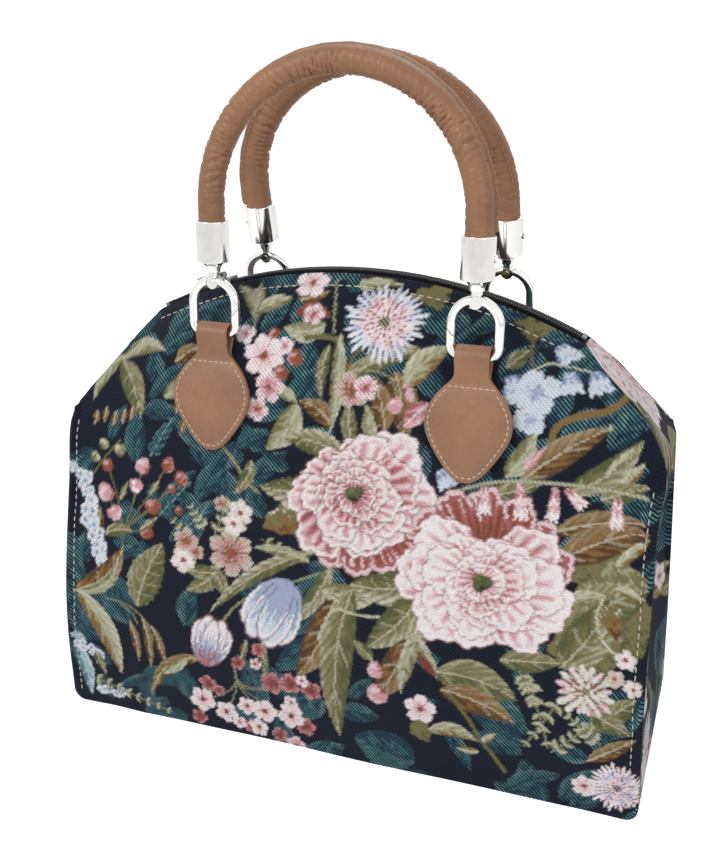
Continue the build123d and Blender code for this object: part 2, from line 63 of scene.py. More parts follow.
# %% [markdown]
# ## Camera
# The photograph was taken from the front right and from above. The camera stands where a fit of the
# bag's corners, tabs and handles put it, and its picture is 709 by 850. A camera in Blender looks
# along its own -Z, so its turn is built from three directions: right, up and back.

# %% Camera
camera_place = Vector((0.1953, -0.5365, 0.3975))
yaw, pitch, roll = radians(20.62), radians(-21.28), radians(-1.05)
focal_pixels, picture_width, picture_height = 1105.4, 709, 850
sensor_height = 24

forward = Vector((-sin(yaw) * cos(pitch), cos(yaw) * cos(pitch), sin(pitch)))
level = Vector((cos(yaw), sin(yaw), 0))
upright = level.cross(forward)
right = cos(roll) * level + sin(roll) * upright
up = cos(roll) * upright - sin(roll) * level

camera_data = bpy.data.cameras.new("camera")
camera_data.sensor_fit, camera_data.sensor_height = "VERTICAL", sensor_height
camera_data.lens = focal_pixels / picture_height * sensor_height
camera = bpy.data.objects.new("camera", camera_data)
camera.matrix_world = Matrix((right, up, -forward)).transposed().to_4x4()
camera.location = camera_place
bpy.context.collection.objects.link(camera)
bpy.context.scene.camera = camera
bpy.context.scene.view_settings.view_transform = "Standard"
print("lens", round(camera_data.lens, 1), "mm")

# %% [markdown]
# ## Nodes
# A material is a small net of nodes. One helper makes a material with its shader, the other adds a
# node and takes either a link or a plain value for each of its sockets.

# %% Node helpers
def add_node(tree, kind, *feeds, **values):
    made = tree.nodes.new("ShaderNode" + kind)
    sockets = list(enumerate(feeds))
    for key, value in values.items():
        if hasattr(made, key):
            setattr(made, key, value)
        else:
            sockets.append((key.replace("_", " "), value))
    for socket, value in sockets:
        if isinstance(value, bpy.types.NodeSocket):
            tree.links.new(value, made.inputs[socket])
        else:
            made.inputs[socket].default_value = value
    return made

def new_finish(name, colour, roughness, **values):
    material = bpy.data.materials.new(name)
    material.use_nodes = True
    shader = material.node_tree.nodes["Principled BSDF"]
    shader.inputs["Base Color"].default_value = (*colour, 1)
    shader.inputs["Roughness"].default_value = roughness
    for key, value in values.items():
        shader.inputs[key.replace("_", " ")].default_value = value
    return material, material.node_tree, shader

print("node helpers are ready")

# %% [markdown]
# ## Light and floor
# Soft light shows cloth best: one wide lamp high on the left in front, a weaker one on the right,
# and one above the back. The lamps stay low enough that a colour comes out about as it is written.
# The room is dim as a lamp, but white to the camera and to the metal that mirrors it. The paper floor
# glows a little in the same way, and keeps the bag's shadow.

# %% Lamps
def lamp(name, place, size, power):
    data = bpy.data.lights.new(name, "AREA")
    data.shape, data.size, data.energy = "DISK", size, power
    thing = bpy.data.objects.new(name, data)
    thing.location = place
    thing.rotation_euler = (middle_of_bag - Vector(place)).to_track_quat("-Z", "Y").to_euler()
    bpy.context.collection.objects.link(thing)

middle_of_bag = Vector((0, 0, 0.16))
lamp("key_lamp", (-0.75, -1.35, 1.35), 0.9, 15)
lamp("fill_lamp", (1.3, -1.1, 0.75), 0.9, 6)
lamp("top_lamp", (0.1, 0.9, 1.6), 1.1, 5)
print(len(bpy.data.lights), "lamps")

# %% Room and floor
def seen_share(tree, in_metal):
    rays = add_node(tree, "LightPath").outputs
    glossy = add_node(tree, "Math", rays["Is Glossy Ray"], in_metal, operation="MULTIPLY")
    seen = add_node(tree, "Math", rays["Is Camera Ray"], rays["Is Transmission Ray"], operation="MAXIMUM")
    return add_node(tree, "Math", seen.outputs[0], glossy.outputs[0], operation="MAXIMUM").outputs[0]

def deselect_all():
    bpy.ops.object.select_all(action="DESELECT")

room_light, room_seen, floor_glow, floor_in_metal, floor_size = 0.34, 1.0, 0.72, 0.6, 60
room = bpy.data.worlds.new("room")
room.use_nodes = True
bpy.context.scene.world = room
background = room.node_tree.nodes["Background"]
background.inputs["Color"].default_value = (1, 1, 1, 1)
room_share = seen_share(room.node_tree, 1.0)
strength = add_node(room.node_tree, "MapRange", room_share, To_Min=room_light, To_Max=room_seen)
room.node_tree.links.new(strength.outputs[0], background.inputs["Strength"])

deselect_all()
bpy.ops.mesh.primitive_plane_add(size=floor_size, location=(0, 0, 0))
floor = bpy.context.object
floor.name = "floor"
paper_grey, white = (0.86, 0.86, 0.86), (1, 1, 1, 1)
paper, paper_tree, paper_shader = new_finish("pale_floor", paper_grey, 0.9, Emission_Color=white)
glow = add_node(paper_tree, "MapRange", seen_share(paper_tree, floor_in_metal), To_Max=floor_glow)
paper_tree.links.new(glow.outputs[0], paper_shader.inputs["Emission Strength"])
floor.data.materials.append(paper)
print("a floor of", floor_size, "m")

# %% [markdown]
# ## Weaving the flowers
# The real cloth is a jacquard: a few coloured yarns come to the face where the loom calls for them.
# Where a leaf is far off, two yarns share the face in slanting stripes. So a point of the cloth
# keeps three things: the yarn on its face, the yarn under it, and the share of the stripes the lower
# yarn gets. A small set of functions lays petals, leaves and stems on a cloth, each with
# the cloth's own edge: stepped from row to row, because a loom works in rows. Lengths are in mm.

# %% Yarn colours
def yarn(code):
    parts = [int(code[i:i + 2], 16) / 255 for i in (0, 2, 4)]
    return np.array([p / 12.92 if p <= 0.04045 else ((p + 0.055) / 1.055) ** 2.4 for p in parts])

INK, NIGHT = yarn("0f1420"), yarn("1b2438")
TEAL, DEEP_TEAL, PALE_TEAL = yarn("4f818a"), yarn("2b4c62"), yarn("8db0b4")
OLIVE, MOSS, SAGE, CREAM = yarn("7d7750"), yarn("5c6140"), yarn("a3a586"), yarn("d6d3bd")
BROWN, RUST, BARK = yarn("8a683c"), yarn("9a5843"), yarn("5b432c")
WHITE, BLUSH, PINK, ROSE = yarn("fbf3f5"), yarn("f0d6da"), yarn("d8a5ab"), yarn("b0686c")
WINE, PLUM = yarn("7c453d"), yarn("6b4f60")
ICE, LAVENDER, BLUE = yarn("dde6ef"), yarn("a9b5d0"), yarn("7286ae")

GREENS, PALES = (MOSS, OLIVE, SAGE, CREAM), (OLIVE, SAGE, CREAM, CREAM)
CREAMS, BROWNS = (BROWN, SAGE, CREAM, CREAM), (BARK, BROWN, OLIVE, CREAM)
RUSTS, WINES, BUDS = (WINE, RUST, BROWN, RUST), (WINE, WINE, ROSE, PINK), (ROSE, PINK, BLUSH, BLUSH)
MOSSES, CLUMP_GREENS = (MOSS, OLIVE, OLIVE), (MOSS, OLIVE, OLIVE, SAGE)
TEALS, FROST = (DEEP_TEAL, TEAL, PALE_TEAL, INK), (TEAL, PALE_TEAL, ICE, ICE)
PINKS, DARK_PINKS = (WINE, ROSE, PINK, BLUSH, WHITE), (WINE, WINE, RUST, ROSE, BLUSH)
PALE_PINKS, WHITES = (ROSE, PINK, BLUSH, WHITE, WHITE), (OLIVE, BLUSH, WHITE, CREAM)
RUSSETS, BERRY_REDS, BERRY_PINKS = (WINE, BROWN, PINK, CREAM), (WINE, RUST, PINK), (RUST, PINK, BLUSH)
BLUES, TULIPS = (BLUE, LAVENDER, ICE, ICE, ICE), (PLUM, LAVENDER, LAVENDER, ICE, WHITE)
print("yarns are ready")

# %% A cloth to lay motifs on
tile_width, tile_height = 346.0, 330.0
loom_row, loom_step = 0.85, 0.9
soft_edge, fine_edge = 0.7, 0.6

class Cloth:
    def __init__(self, u, v, shift=(0.0, 0.0)):
        self.u, self.v = u + shift[0], v + shift[1]
        self.face = np.tile(INK, (len(u), 1))
        self.under = np.tile(NIGHT, (len(u), 1))
        self.share = np.full(len(u), 0.25)

    def near(self, place, turn, reach):
        du = (self.u - place[0] + tile_width / 2) % tile_width - tile_width / 2
        dv = (self.v - place[1] + tile_height / 2) % tile_height - tile_height / 2
        at = np.nonzero(du * du + dv * dv < reach * reach)[0]
        row = np.floor(self.v[at] / loom_row)
        du, dv = du[at] + loom_step * (chance(row) - 0.5), dv[at]
        return at, du * cos(turn) + dv * sin(turn), dv * cos(turn) - du * sin(turn)

    def lay(self, at, cover, face, under=None, share=0.0):
        cover = np.clip(cover, 0, 1)[:, None]
        self.face[at] += cover * (face - self.face[at])
        self.under[at] += cover * ((face if under is None else under) - self.under[at])
        self.share[at] += cover[:, 0] * (share - self.share[at])

def chance(k, seed=0.0):
    return (np.sin(np.asarray(k) * 12.9898 + seed * 78.233) * 43758.5453) % 1.0

def ripple(a, b, seed):
    wave = np.sin(a * 1.3 + seed * 2.1 + np.sin(b * 1.7 + seed))
    return 0.5 * (wave + np.sin(b * 1.9 + seed * 1.3 + np.sin(a * 2.3)))

def ramp(tones, k):
    k = np.clip(k, 0, 0.9999) * (len(tones) - 1)
    low = k.astype(int)
    part = np.clip(((k - low)[:, None] - 0.5) * 2.2 + 0.5, 0, 1)
    table = np.array(tones)
    return table[low] * (1 - part) + table[low + 1] * part

def away(base, tip):
    return hypot(tip[0] - base[0], tip[1] - base[1]), atan2(tip[1] - base[1], tip[0] - base[0])

def toward(place, turn, length):
    return place[0] + length * cos(turn), place[1] + length * sin(turn)

print("the cloth repeats every", tile_width, "by", tile_height, "mm")

# %% [markdown]
# A leaf is measured along and across its midrib: its half width swells and narrows along it, one side
# is lighter than the other, and short streaks of yarn and a few pale veins lie on it. A stem is a
# line whose corners are cut twice, and a sprig is a stem with small leaves in pairs.

# %% Leaves and stems
def leaf(cloth, base, tip, width, bend=0.0, tones=GREENS, veins=5, cream=0.0, hatch=0.0, saw=0.0, seed=0.0):
    length, turn = away(base, tip)
    at, p, q = cloth.near(base, turn, length + abs(bend) * length + width)
    s = p / length
    inside = np.clip(s, 0.001, 0.999)
    q = q - bend * length * 4 * inside * (1 - inside)
    teeth = 1 + saw * (np.abs((inside * 9) % 1 - 0.5) - 0.25)
    half = width * np.sin(pi * inside ** 0.8) ** 0.75 * teeth
    edge = np.minimum(half - np.abs(q), 3 * np.minimum(s, 1 - s) * length)
    t = q / np.maximum(half, 0.3)
    side = np.sign(bend if bend else 1) * t
    mottle = ripple(p * 0.3, q * 0.4, seed)
    streak = 0.5 + 0.5 * np.sin(p * 0.8 - np.abs(q) * 1.7 + seed + mottle)
    face = ramp(tones[:3], 0.38 + 0.34 * side + 0.2 * mottle + 0.28 * (streak - 0.5))
    light = np.clip((3.0 * cream + 0.25) * (side - 0.05) * (0.2 + streak), 0, 0.85)
    line = (s * veins - np.abs(t) * 0.5) % 1
    light = np.maximum(light, 0.35 * ((line < 0.13) & (np.abs(t) < 0.75) & (s > 0.08) & (veins > 0)))
    light = np.maximum(light, 0.6 * (np.abs(q) < 0.3 + 0.4 * (1 - s)))
    face += light[:, None] * (tones[3] - face)
    cloth.lay(at, edge / soft_edge + 0.5, face, INK, hatch)

def stem(cloth, points, width, face=SAGE, under=MOSS, share=0.3):
    points = [np.array(p, float) for p in points]
    for _ in range(2):
        cut = [points[0]]
        for a, b in zip(points, points[1:]):
            cut += [a * 0.75 + b * 0.25, a * 0.25 + b * 0.75]
        points = cut + [points[-1]]
    for a, b in zip(points, points[1:]):
        length, turn = away(a, b)
        at, p, q = cloth.near(a, turn, length + width + 1)
        off = np.hypot(p - np.clip(p, 0, length), q)
        cloth.lay(at, (width / 2 - off) / fine_edge + 0.5, np.tile(face, (len(at), 1)), under, share)

def sprig(cloth, base, tip, count=6, size=5.0, face=SAGE, tones=PALES, seed=0.0):
    stem(cloth, (base, tip), 0.9, face)
    turn = away(base, tip)[1]
    for i in range(count):
        share = (i + 0.6) / count
        place = (base[0] + (tip[0] - base[0]) * share, base[1] + (tip[1] - base[1]) * share)
        reach = size * (1.15 - 0.6 * share)
        for side in (-1, 1):
            lean = turn + side * (0.85 + 0.2 * chance(i, seed))
            leaf(cloth, place, toward(place, lean, reach), reach * 0.3, 0.05 * side, tones, 0, seed=seed + i)

print("leaves and stems are ready")

# %% [markdown]
# A petal is a rounded patch with a dark line under its rim, streaks that run together at its root and
# a light lip. A peony is five rings of them, laid from the outside in, each a little out of place;
# `reaches` stretches the whole flower by direction, because no peony is round.

# %% Petals and peonies
def petal(cloth, root, turn, length, width, tones=PINKS, seed=0.0, ruffle=0.06, low=0.0, lines=0.52):
    at, p, q = cloth.near(root, turn, max(length * 1.25, width * 1.25))
    p, q = p / length, q / width
    out = (p - 0.5) / 0.52
    around = np.arctan2(q, out)
    rim = 1 + ruffle * np.sin(around * 5 + seed) + 0.6 * ruffle * np.sin(around * 11 + 2.3 * seed)
    x = np.hypot(out, q) / rim
    scale = min(length / 2, width)
    dark = np.tile(tones[0], (len(at), 1))
    cloth.lay(at, np.clip((1.0 - x) * scale / soft_edge + 1.4, 0, 1) * (p > 0.15) * 0.7, dark, dark)
    spread_out = q / (0.3 + 0.7 * np.clip(p, 0, 1.2))
    streak = 0.5 + 0.5 * np.sin(spread_out * 11 + seed * 3 + ripple(p * 3, q * 3, seed))
    k = low + 0.2 + 0.62 * np.clip(p, 0, 1) + lines * (streak - 0.5) * (p < 0.85)
    k += 0.1 * ripple(p * 6, q * 5, seed)
    k = np.where((x > 0.84) & (p > 0.4) & (low > -0.3), k + 0.35, k)
    cloth.lay(at, (1 - x) * scale / fine_edge + 0.5, ramp(tones, k), tones[2], 0.1)

petal_rings = ((9, 0.25, 1.0, 0.36), (8, 0.16, 0.8, 0.32), (7, 0.1, 0.62, 0.27), (6, 0.04, 0.44, 0.22),
               (5, 0.02, 0.27, 0.16))
petal_lightness = (-0.2, 0.0, 0.1, -0.06, 0.04)

def peony(cloth, centre, size, tones=PINKS, seed=1.0, light=0.0, reaches=(1,)):
    corners = np.linspace(0, 2 * pi, len(reaches) + 1)
    for ring, (count, start, stop, wide) in enumerate(petal_rings):
        for i in range(count):
            turn = 2 * pi * (i + 0.5 * (ring % 2) + 0.5 * (chance(i + ring * 9, seed) - 0.5)) / count + seed
            full = size * float(np.interp(turn % (2 * pi), corners, reaches + reaches[:1]))
            grown = 0.9 + 0.2 * chance(i * 3 + ring, seed + 1)
            low = petal_lightness[int(5 * chance(i * 5 + ring * 2, seed + 2))] + light
            lean = 0.5 * (chance(i + 2 * ring, seed + 4) - 0.3)
            petal(cloth, toward(centre, turn, full * start), turn + lean, full * (stop * grown - start),
                  full * wide * grown, tones, seed + i * 1.7 + ring, 0.07, low)
    blob(cloth, centre, size * 0.12, size * 0.1, 0.3, (INK, MOSS, OLIVE), seed)

def back_petals(cloth, centre, size, first=20, last=140, count=6, seed=0.0):
    for i in range(count):
        turn = radians(first + i * (last - first) / (count - 1))
        length = size * (0.66 + 0.08 * chance(i, seed))
        root = toward(centre, turn, size * 0.3)
        petal(cloth, root, turn, length, size * 0.24, DARK_PINKS, seed + i, 0.05, 0.0)

def tulip(cloth, base, tip, width, tones=TULIPS, seed=0.0):
    length, turn = away(base, tip)
    bud = ((0.3, 0.62, 0.9), (-0.3, 0.62, 0.93), (0.14, 0.56, 1.0), (-0.14, 0.5, 1.02), (0.02, 0.4, 0.94))
    for lean, wide, reach in bud:
        petal(cloth, base, turn + lean, length * reach, width * wide, tones, seed + lean * 7, 0.01, 0.04, 0.2)

print("a peony has", sum(ring[0] for ring in petal_rings), "petals")

# %% [markdown]
# The other flowers are drawn whole. A blob serves for hearts, berries and clumps of leaves; an aster
# is rings of narrow rays; a rosette has lobes round a heart; a bell hangs with a frilled mouth.

# %% Clumps, berries and small flowers
def blob(cloth, centre, wide, high, turn, tones, seed=0.0, rough=0.12):
    at, p, q = cloth.near(centre, turn, 1.4 * max(wide, high))
    around = np.arctan2(q / high, p / wide)
    rim = 1 + rough * (np.sin(around * 3 + seed) + 0.6 * np.sin(around * 7 + 2 * seed))
    x = np.hypot(p / wide, q / high) / rim
    k = 0.5 + 0.35 * q / high + 0.25 * ripple(p * 0.5, q * 0.5, seed) + 0.12 * np.sin(p * 2.2 + q + seed)
    cloth.lay(at, (1 - x) * min(wide, high) / soft_edge + 0.5, ramp(tones, k), INK, 0.0)

def berry(cloth, centre, size, tones=BERRY_REDS, seed=0.0):
    blob(cloth, centre, size, size * 0.92, seed, tones, seed, 0.05)
    shine = (centre[0] - size * 0.25, centre[1] + size * 0.3)
    blob(cloth, shine, size * 0.4, size * 0.3, 0.4, tones[1:] + (tones[-1],), seed)

def rosette(cloth, centre, size, count=5, tones=WHITES, seed=0.0, heart=RUST):
    at, p, q = cloth.near(centre, seed, size * 1.1)
    r, around = np.hypot(p, q) / size, np.arctan2(q, p)
    lobe = np.abs(np.cos(around * count / 2))
    stop = 0.66 + 0.34 * lobe ** 0.6 + 0.03 * np.sin(around * 13 + seed)
    k = 0.25 + 0.75 * r / stop - 0.35 * (lobe < 0.22) + 0.16 * np.sin(around * 19 + seed)
    cloth.lay(at, (stop - r) * size / fine_edge + 0.5, ramp(tones, k), tones[1], 0.15)
    cloth.lay(at, (0.2 - r) * size / fine_edge + 0.5, np.tile(heart, (len(at), 1)))

def florets(cloth, base, tip, wide, count=26, size=4.0, seed=0.0):
    for i in range(count):
        share, across = (i + 0.5) / count, (chance(i * 7, seed) - 0.5) * 2
        side = across * wide * (1 - 0.55 * share)
        rise = (chance(i, seed + 5) - 0.5) * 5
        place = (base[0] + (tip[0] - base[0]) * share + side, base[1] + (tip[1] - base[1]) * share + rise)
        petals = (BLUE, LAVENDER, ICE, WHITE)
        rosette(cloth, place, size * (0.8 + 0.4 * chance(i, seed + 2)), 4, petals, i * 1.3 + seed, BLUE)

def bell(cloth, root, tip, width, tones=BLUES, seed=0.0):
    length, turn = away(root, tip)
    at, p, q = cloth.near(root, turn, length * 1.3 + width)
    s = p / length
    half = 0.8 * width * np.clip(0.45 + 0.75 * np.clip(s, 0, 1.3) ** 0.7, 0, 1.15)
    frill = 0.9 + 0.14 * np.abs(np.sin(q / width * 4.5 + seed))
    edge = np.minimum(half - np.abs(q), np.minimum(s, frill - s) * length)
    k = 0.2 + 0.6 * s + 0.4 * ripple(p * 0.7, q * 1.1, seed) - 0.2 * (np.abs(q) > 0.8 * half)
    cloth.lay(at, edge / fine_edge + 0.5, ramp(tones, k), tones[1], 0.1)

print("berries, rosettes and bells are ready")

# %% Asters
def aster(cloth, centre, size, rays=34, rims=(LAVENDER, ICE), inner=(PINK, BLUSH), seed=0.0, heart=MOSS):
    at, p, q = cloth.near(centre, 0.0, size * 1.15)
    r, around = np.hypot(p, q), np.arctan2(q, p)
    rings = ((1.0, rays), (0.74, rays * 3 // 4), (0.5, rays // 2), (0.28, rays // 3))
    for ring, (reach, count) in enumerate(rings):
        number = around * count / (2 * pi) + ring * 0.5
        ray = np.floor(number) % count
        side = np.abs((number % 1) - 0.5) * 2
        stop = size * reach * (0.8 + 0.26 * chance(ray, seed + ring)) * (1 - 0.3 * side ** 2)
        tones = rims if ring == 0 else inner
        face = np.array(tones)[(chance(ray, seed + 3 + ring) > 0.45).astype(int)]
        face = np.where((side < 0.35)[:, None], 0.35 * face + 0.65 * WHITE, face)
        gap = ((side > 0.78) & (r > 0.35 * stop))[:, None]
        face = np.where(gap, (BLUE if ring == 0 else ROSE) * 0.75, face)
        cloth.lay(at, (stop - r) / soft_edge + 0.5, face, None, 0.0)
    cloth.lay(at, (size * 0.13 - r) / soft_edge + 0.5, np.tile(heart, (len(at), 1)), SAGE, 0.4)

def daisy(cloth, centre, size, seed=0.0):
    aster(cloth, centre, size, 16, (CREAM, PINK), (BROWN, CREAM), seed, OLIVE)

def plume(cloth, centre, size, seed=0.0):
    aster(cloth, centre, size, 30, (BLUSH, WHITE), (LAVENDER, BLUSH), seed, PLUM)

print("asters, daisies and plumes are ready")

# %% [markdown]
# ## The cloth panels
# A panel is a cut sheet of cloth pulled over the bag's form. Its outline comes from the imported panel:
# seen from the front it is convex, so the convex hull of its points is the outline itself. Four
# sides of that outline are joined by a Coons patch, which spreads rows and columns evenly
# between them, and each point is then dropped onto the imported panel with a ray. The grid is fine,
# a stitch of the weave to a point, because the woven colours are kept on its points.

# %% Trees and outlines
def tree_of(name):
    mesh = frame["nodes"][name].data
    return BVHTree.FromPolygons([v.co.copy() for v in mesh.vertices], [p.vertices[:] for p in mesh.polygons])

def nearest_tree(points):
    tree = KDTree(len(points))
    for i, point in enumerate(points):
        tree.insert(point, i)
    tree.balance()
    return tree

def outline_of(name):
    points = [Vector((v.co.x, v.co.z)) for v in frame["nodes"][name].data.vertices]
    return np.array([points[i][:] for i in convex_hull_2d(points)])

def signed_area(loop):
    x, z = loop.T
    return 0.5 * np.sum(x * np.roll(z, -1) - z * np.roll(x, -1))

def stretch(loop, start, end):
    low, high = (int(np.argmax(loop @ np.array(corner))) for corner in (start, end))
    turn = 1 if signed_area(loop) > 0 else -1
    count = (turn * (high - low)) % len(loop) + 1
    return loop[(low + turn * np.arange(count)) % len(loop)]

edge_inset = 0.15 * MM
loop = outline_of("front_panel")
loop = loop * (1 - edge_inset / np.abs(loop).max())
loop[:, 1] += edge_inset / 2
BASE_RIGHT, SHOULDER_RIGHT = (1, -1), (0.94, 0.34)
SHOULDER_LEFT, BASE_LEFT = (-0.94, 0.34), (-1, -1)
print("outline of", len(loop), "points, area", round(abs(signed_area(loop)) * 1e4, 1), "cm2")

# %% The panel's grid
def steps_along(line):
    return np.concatenate(([0], np.cumsum(np.linalg.norm(np.diff(line, axis=0), axis=1))))

def read_at(at, steps, values):
    return np.stack([np.interp(at, steps, column) for column in values.T], axis=1)

def walk(line, count):
    steps = steps_along(line)
    return read_at(np.linspace(0, steps[-1], count), steps, line)

def coons(bottom, right_side, top, left_side):
    a = np.linspace(0, 1, len(bottom))[None, :, None]
    t = np.linspace(0, 1, len(left_side))[:, None, None]
    across = (1 - a) * left_side[:, None] + a * right_side[:, None]
    along = (1 - t) * bottom[None] + t * top[None]
    corners = (1 - t) * ((1 - a) * bottom[0] + a * bottom[-1]) + t * ((1 - a) * top[0] + a * top[-1])
    return across + along - corners

cell, bag_width, bag_height = 0.96 * MM, 0.336, 0.262
columns, rows = int(bag_width / cell), int(bag_height / cell)
base_line = walk(stretch(loop, BASE_LEFT, BASE_RIGHT), columns)
right_line = walk(stretch(loop, BASE_RIGHT, SHOULDER_RIGHT), rows)
top_line = walk(stretch(loop, SHOULDER_RIGHT, SHOULDER_LEFT)[::-1], columns)
left_line = walk(stretch(loop, SHOULDER_LEFT, BASE_LEFT)[::-1], rows)
flat_panel = coons(base_line, right_line, top_line, left_line)
flat_points = flat_panel.reshape(-1, 2)
print("panel grid", flat_panel.shape[:2])

# %% [markdown]
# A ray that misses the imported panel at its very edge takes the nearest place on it. The directions of
# the surface come from the grid's own slopes, and one that points sideways, as it would in a
# sharp turn, is replaced by the panel's outward direction.

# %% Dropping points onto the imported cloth
ray_room = 0.2

def unit(vectors):
    return vectors / np.maximum(np.linalg.norm(vectors, axis=-1, keepdims=True), 1e-12)

def drop(tree, places, direction, reach):
    hits = np.empty_like(places)
    for i, (place, way) in enumerate(zip(places, direction)):
        hit = tree.ray_cast(Vector(place), Vector(way), reach)[0]
        hits[i] = hit if hit is not None else tree.find_nearest(Vector(place) + Vector(way) * 0.67 * reach)[0]
    return hits

def panel_surface(name, side):
    x, z = flat_points.T
    start = np.stack([x, np.full(len(x), side * ray_room), z], axis=1)
    inward = np.tile((0, -side, 0), (len(start), 1))
    return drop(tree_of(name), start, inward, ray_room).reshape(*flat_panel.shape[:2], 3)

def grid_normals(grid, outward):
    normal = unit(np.cross(np.gradient(grid, axis=1), np.gradient(grid, axis=0)))
    normal *= np.sign(np.sum(normal * outward, axis=2, keepdims=True).mean())
    normal[np.sum(normal * outward, axis=2) < 0.6] = outward
    return normal

def lengths_up(grid):
    steps = np.linalg.norm(np.diff(grid[..., 1:], axis=0), axis=2)
    return np.concatenate((np.zeros((1, grid.shape[1])), np.cumsum(steps, axis=0)))

front_grid = panel_surface("front_panel", -1)
print("front panel is", round(float(lengths_up(front_grid).max()) / MM), "mm long up its middle")

# %% [markdown]
# Cloth over a seam never lies quite flat. Along the ends the two cloths are turned in and sewn
# through again, which makes a narrow ridge with a row of stitches beside it; along the zip there is
# only the row of stitches. Both are small moves along the surface's own direction, worked out
# from each point's distance to the outline. Broad, shallow waves do for the slack between, and the
# cloth stays flat where a leather tab lies on it.

# %% Distances to the seams
def distance_to(line):
    tree = nearest_tree([(x, z, 0) for x, z in line])
    return np.array([tree.find((x, z, 0))[2] for x, z in flat_points]).reshape(flat_panel.shape[:2])

dome_half_width = 0.119
dome_part = top_line[np.abs(top_line[:, 0]) < dome_half_width]
to_end = np.minimum(distance_to(right_line), distance_to(left_line))
to_dome, to_outline = distance_to(dome_part), distance_to(loop)

tab_x, tab_height, tab_reach = joints["front_left_ring_swivel"]["pos_m"][0], 0.203, (0.030, 0.045)
clear = np.ones(flat_panel.shape[:2])
for x in (tab_x, -tab_x):
    across, above = flat_panel[..., 0] - x, flat_panel[..., 1] - tab_height
    reach = np.hypot(across / tab_reach[0], above / tab_reach[1])
    clear = np.minimum(clear, np.clip((reach - 0.95) / 0.6, 0, 1))
print("the middle of the cloth is", round(float(to_outline.max()) / MM), "mm from its edge")

# %% Ridges, stitch grooves and slack
seam_ridge, ridge_place, groove_place, groove_depth = 1.2 * MM, 2.2 * MM, 5.0 * MM, 0.5 * MM
top_stitch_place, slack = 4.6 * MM, 0.9 * MM

def bump(distance, place, width):
    return np.exp(-(((distance - place) / width) ** 2))

def cloth_relief(seed):
    x, z = flat_panel[..., 0] / MM, flat_panel[..., 1] / MM
    waves = np.sin(x / 31 + seed) * np.sin(z / 43 + 1.3 * seed) + 0.6 * np.sin(x / 17 - z / 29 + seed)
    waves += 0.5 * np.sin(x / 53 + z / 21 + 2 * seed)
    free = np.clip(to_outline / (25 * MM), 0, 1)
    relief = slack * 0.5 * (waves - 1.2) * free
    fade = np.clip(z / 25, 0, 1)
    relief += seam_ridge * bump(to_end, ridge_place, 1.5 * MM) * fade
    relief -= groove_depth * bump(to_end, groove_place, 0.9 * MM) * fade
    pucker = 0.18 * MM * np.sin(2 * pi * z / 4.5 + seed) * bump(to_end, groove_place + 1.5 * MM, 3 * MM)
    relief -= 0.3 * MM * bump(to_dome, top_stitch_place, 0.8 * MM)
    return (relief + pucker * fade) * clear

front_grid += grid_normals(front_grid, (0, -1, 0)) * cloth_relief(0.4)[..., None]
back_grid = panel_surface("back_panel", 1)
back_grid += grid_normals(back_grid, (0, 1, 0)) * cloth_relief(2.1)[..., None]
print("relief from", round(float(cloth_relief(0.4).min()) / MM, 2), "mm")

# %% [markdown]
# ## The gusset
# One long strip runs from the zip's end down the shoulder and the side, under the base and up the
# other way. Its rows follow the same outline as the panels, and its width is what the panels
# leave between them.

# %% The gusset's line
gusset_cell, strip_top, above_side = 1.12 * MM, 0.1185, 0.2
panel_edge_cloth, seam_overlap = 2.7 * MM, 0.5 * MM
bag_core = np.array((0, 0.12))

ring = np.roll(loop, -int(np.argmax(loop[:, 1])), axis=0)
if signed_area(loop) < 0:
    ring = ring[::-1]
beside_zip = (np.abs(ring[:, 0]) < strip_top) & (ring[:, 1] > above_side)
strip_line = ring[~beside_zip]
strip_length = float(steps_along(strip_line)[-1])
strip_line = walk(strip_line, int(strip_length / gusset_cell))
strip_steps = np.linspace(-strip_length / 2, strip_length / 2, len(strip_line))

def square_to(line, core):
    way = np.gradient(line, axis=0)
    side = unit(np.stack([way[:, 1], -way[:, 0]], axis=1))
    return side * np.sign(np.sum(side * (line - core), axis=1).mean())

outward = square_to(strip_line, bag_core)
print("the strip is", round(strip_length / MM), "mm long")

# %% The gusset's grid
def half_depth_along(line):
    x, z = line.T
    start = np.stack([x * 0.999, np.full(len(x), -ray_room), np.clip(z, 0.6 * MM, 1)], axis=1)
    return -drop(tree_of("front_panel"), start, np.tile((0, 1, 0), (len(x), 1)), ray_room)[:, 1]

strip_half = half_depth_along(strip_line) - panel_edge_cloth
strip_columns = int(2 * strip_half.max() / gusset_cell)
stand_off, gusset_reach = 0.02, 0.03
places = np.empty((len(strip_line), strip_columns, 3))
places[..., 0] = (strip_line[:, 0] + stand_off * outward[:, 0])[:, None]
places[..., 1] = strip_half[:, None] * np.linspace(-1, 1, strip_columns)[None]
places[..., 2] = (strip_line[:, 1] + stand_off * outward[:, 1])[:, None]
inward = np.stack([-outward[:, 0], np.zeros(len(outward)), -outward[:, 1]], axis=1)
inward = np.repeat(inward, strip_columns, axis=0)
gusset_grid = drop(tree_of("gusset"), places.reshape(-1, 3), inward, gusset_reach).reshape(places.shape)
gusset_grid[..., 1] *= 1 + seam_overlap / strip_half[:, None]
print("the gusset is up to", round(2 * strip_half.max() / MM), "mm wide")

# %% [markdown]
# The front panel's right shoulder is stuffed rounder than it was cut, and the gusset follows it. The
# puff is a hill along the shoulder's line that fades towards the middle of the panel and to the back.

# %% A rounder shoulder
shoulder_puff = 9 * MM
shoulder_start, shoulder_end = np.array((0.119, 0.234)), np.array((0.163, 0.180))
puff_reach, puff_back = 0.055, 0.06

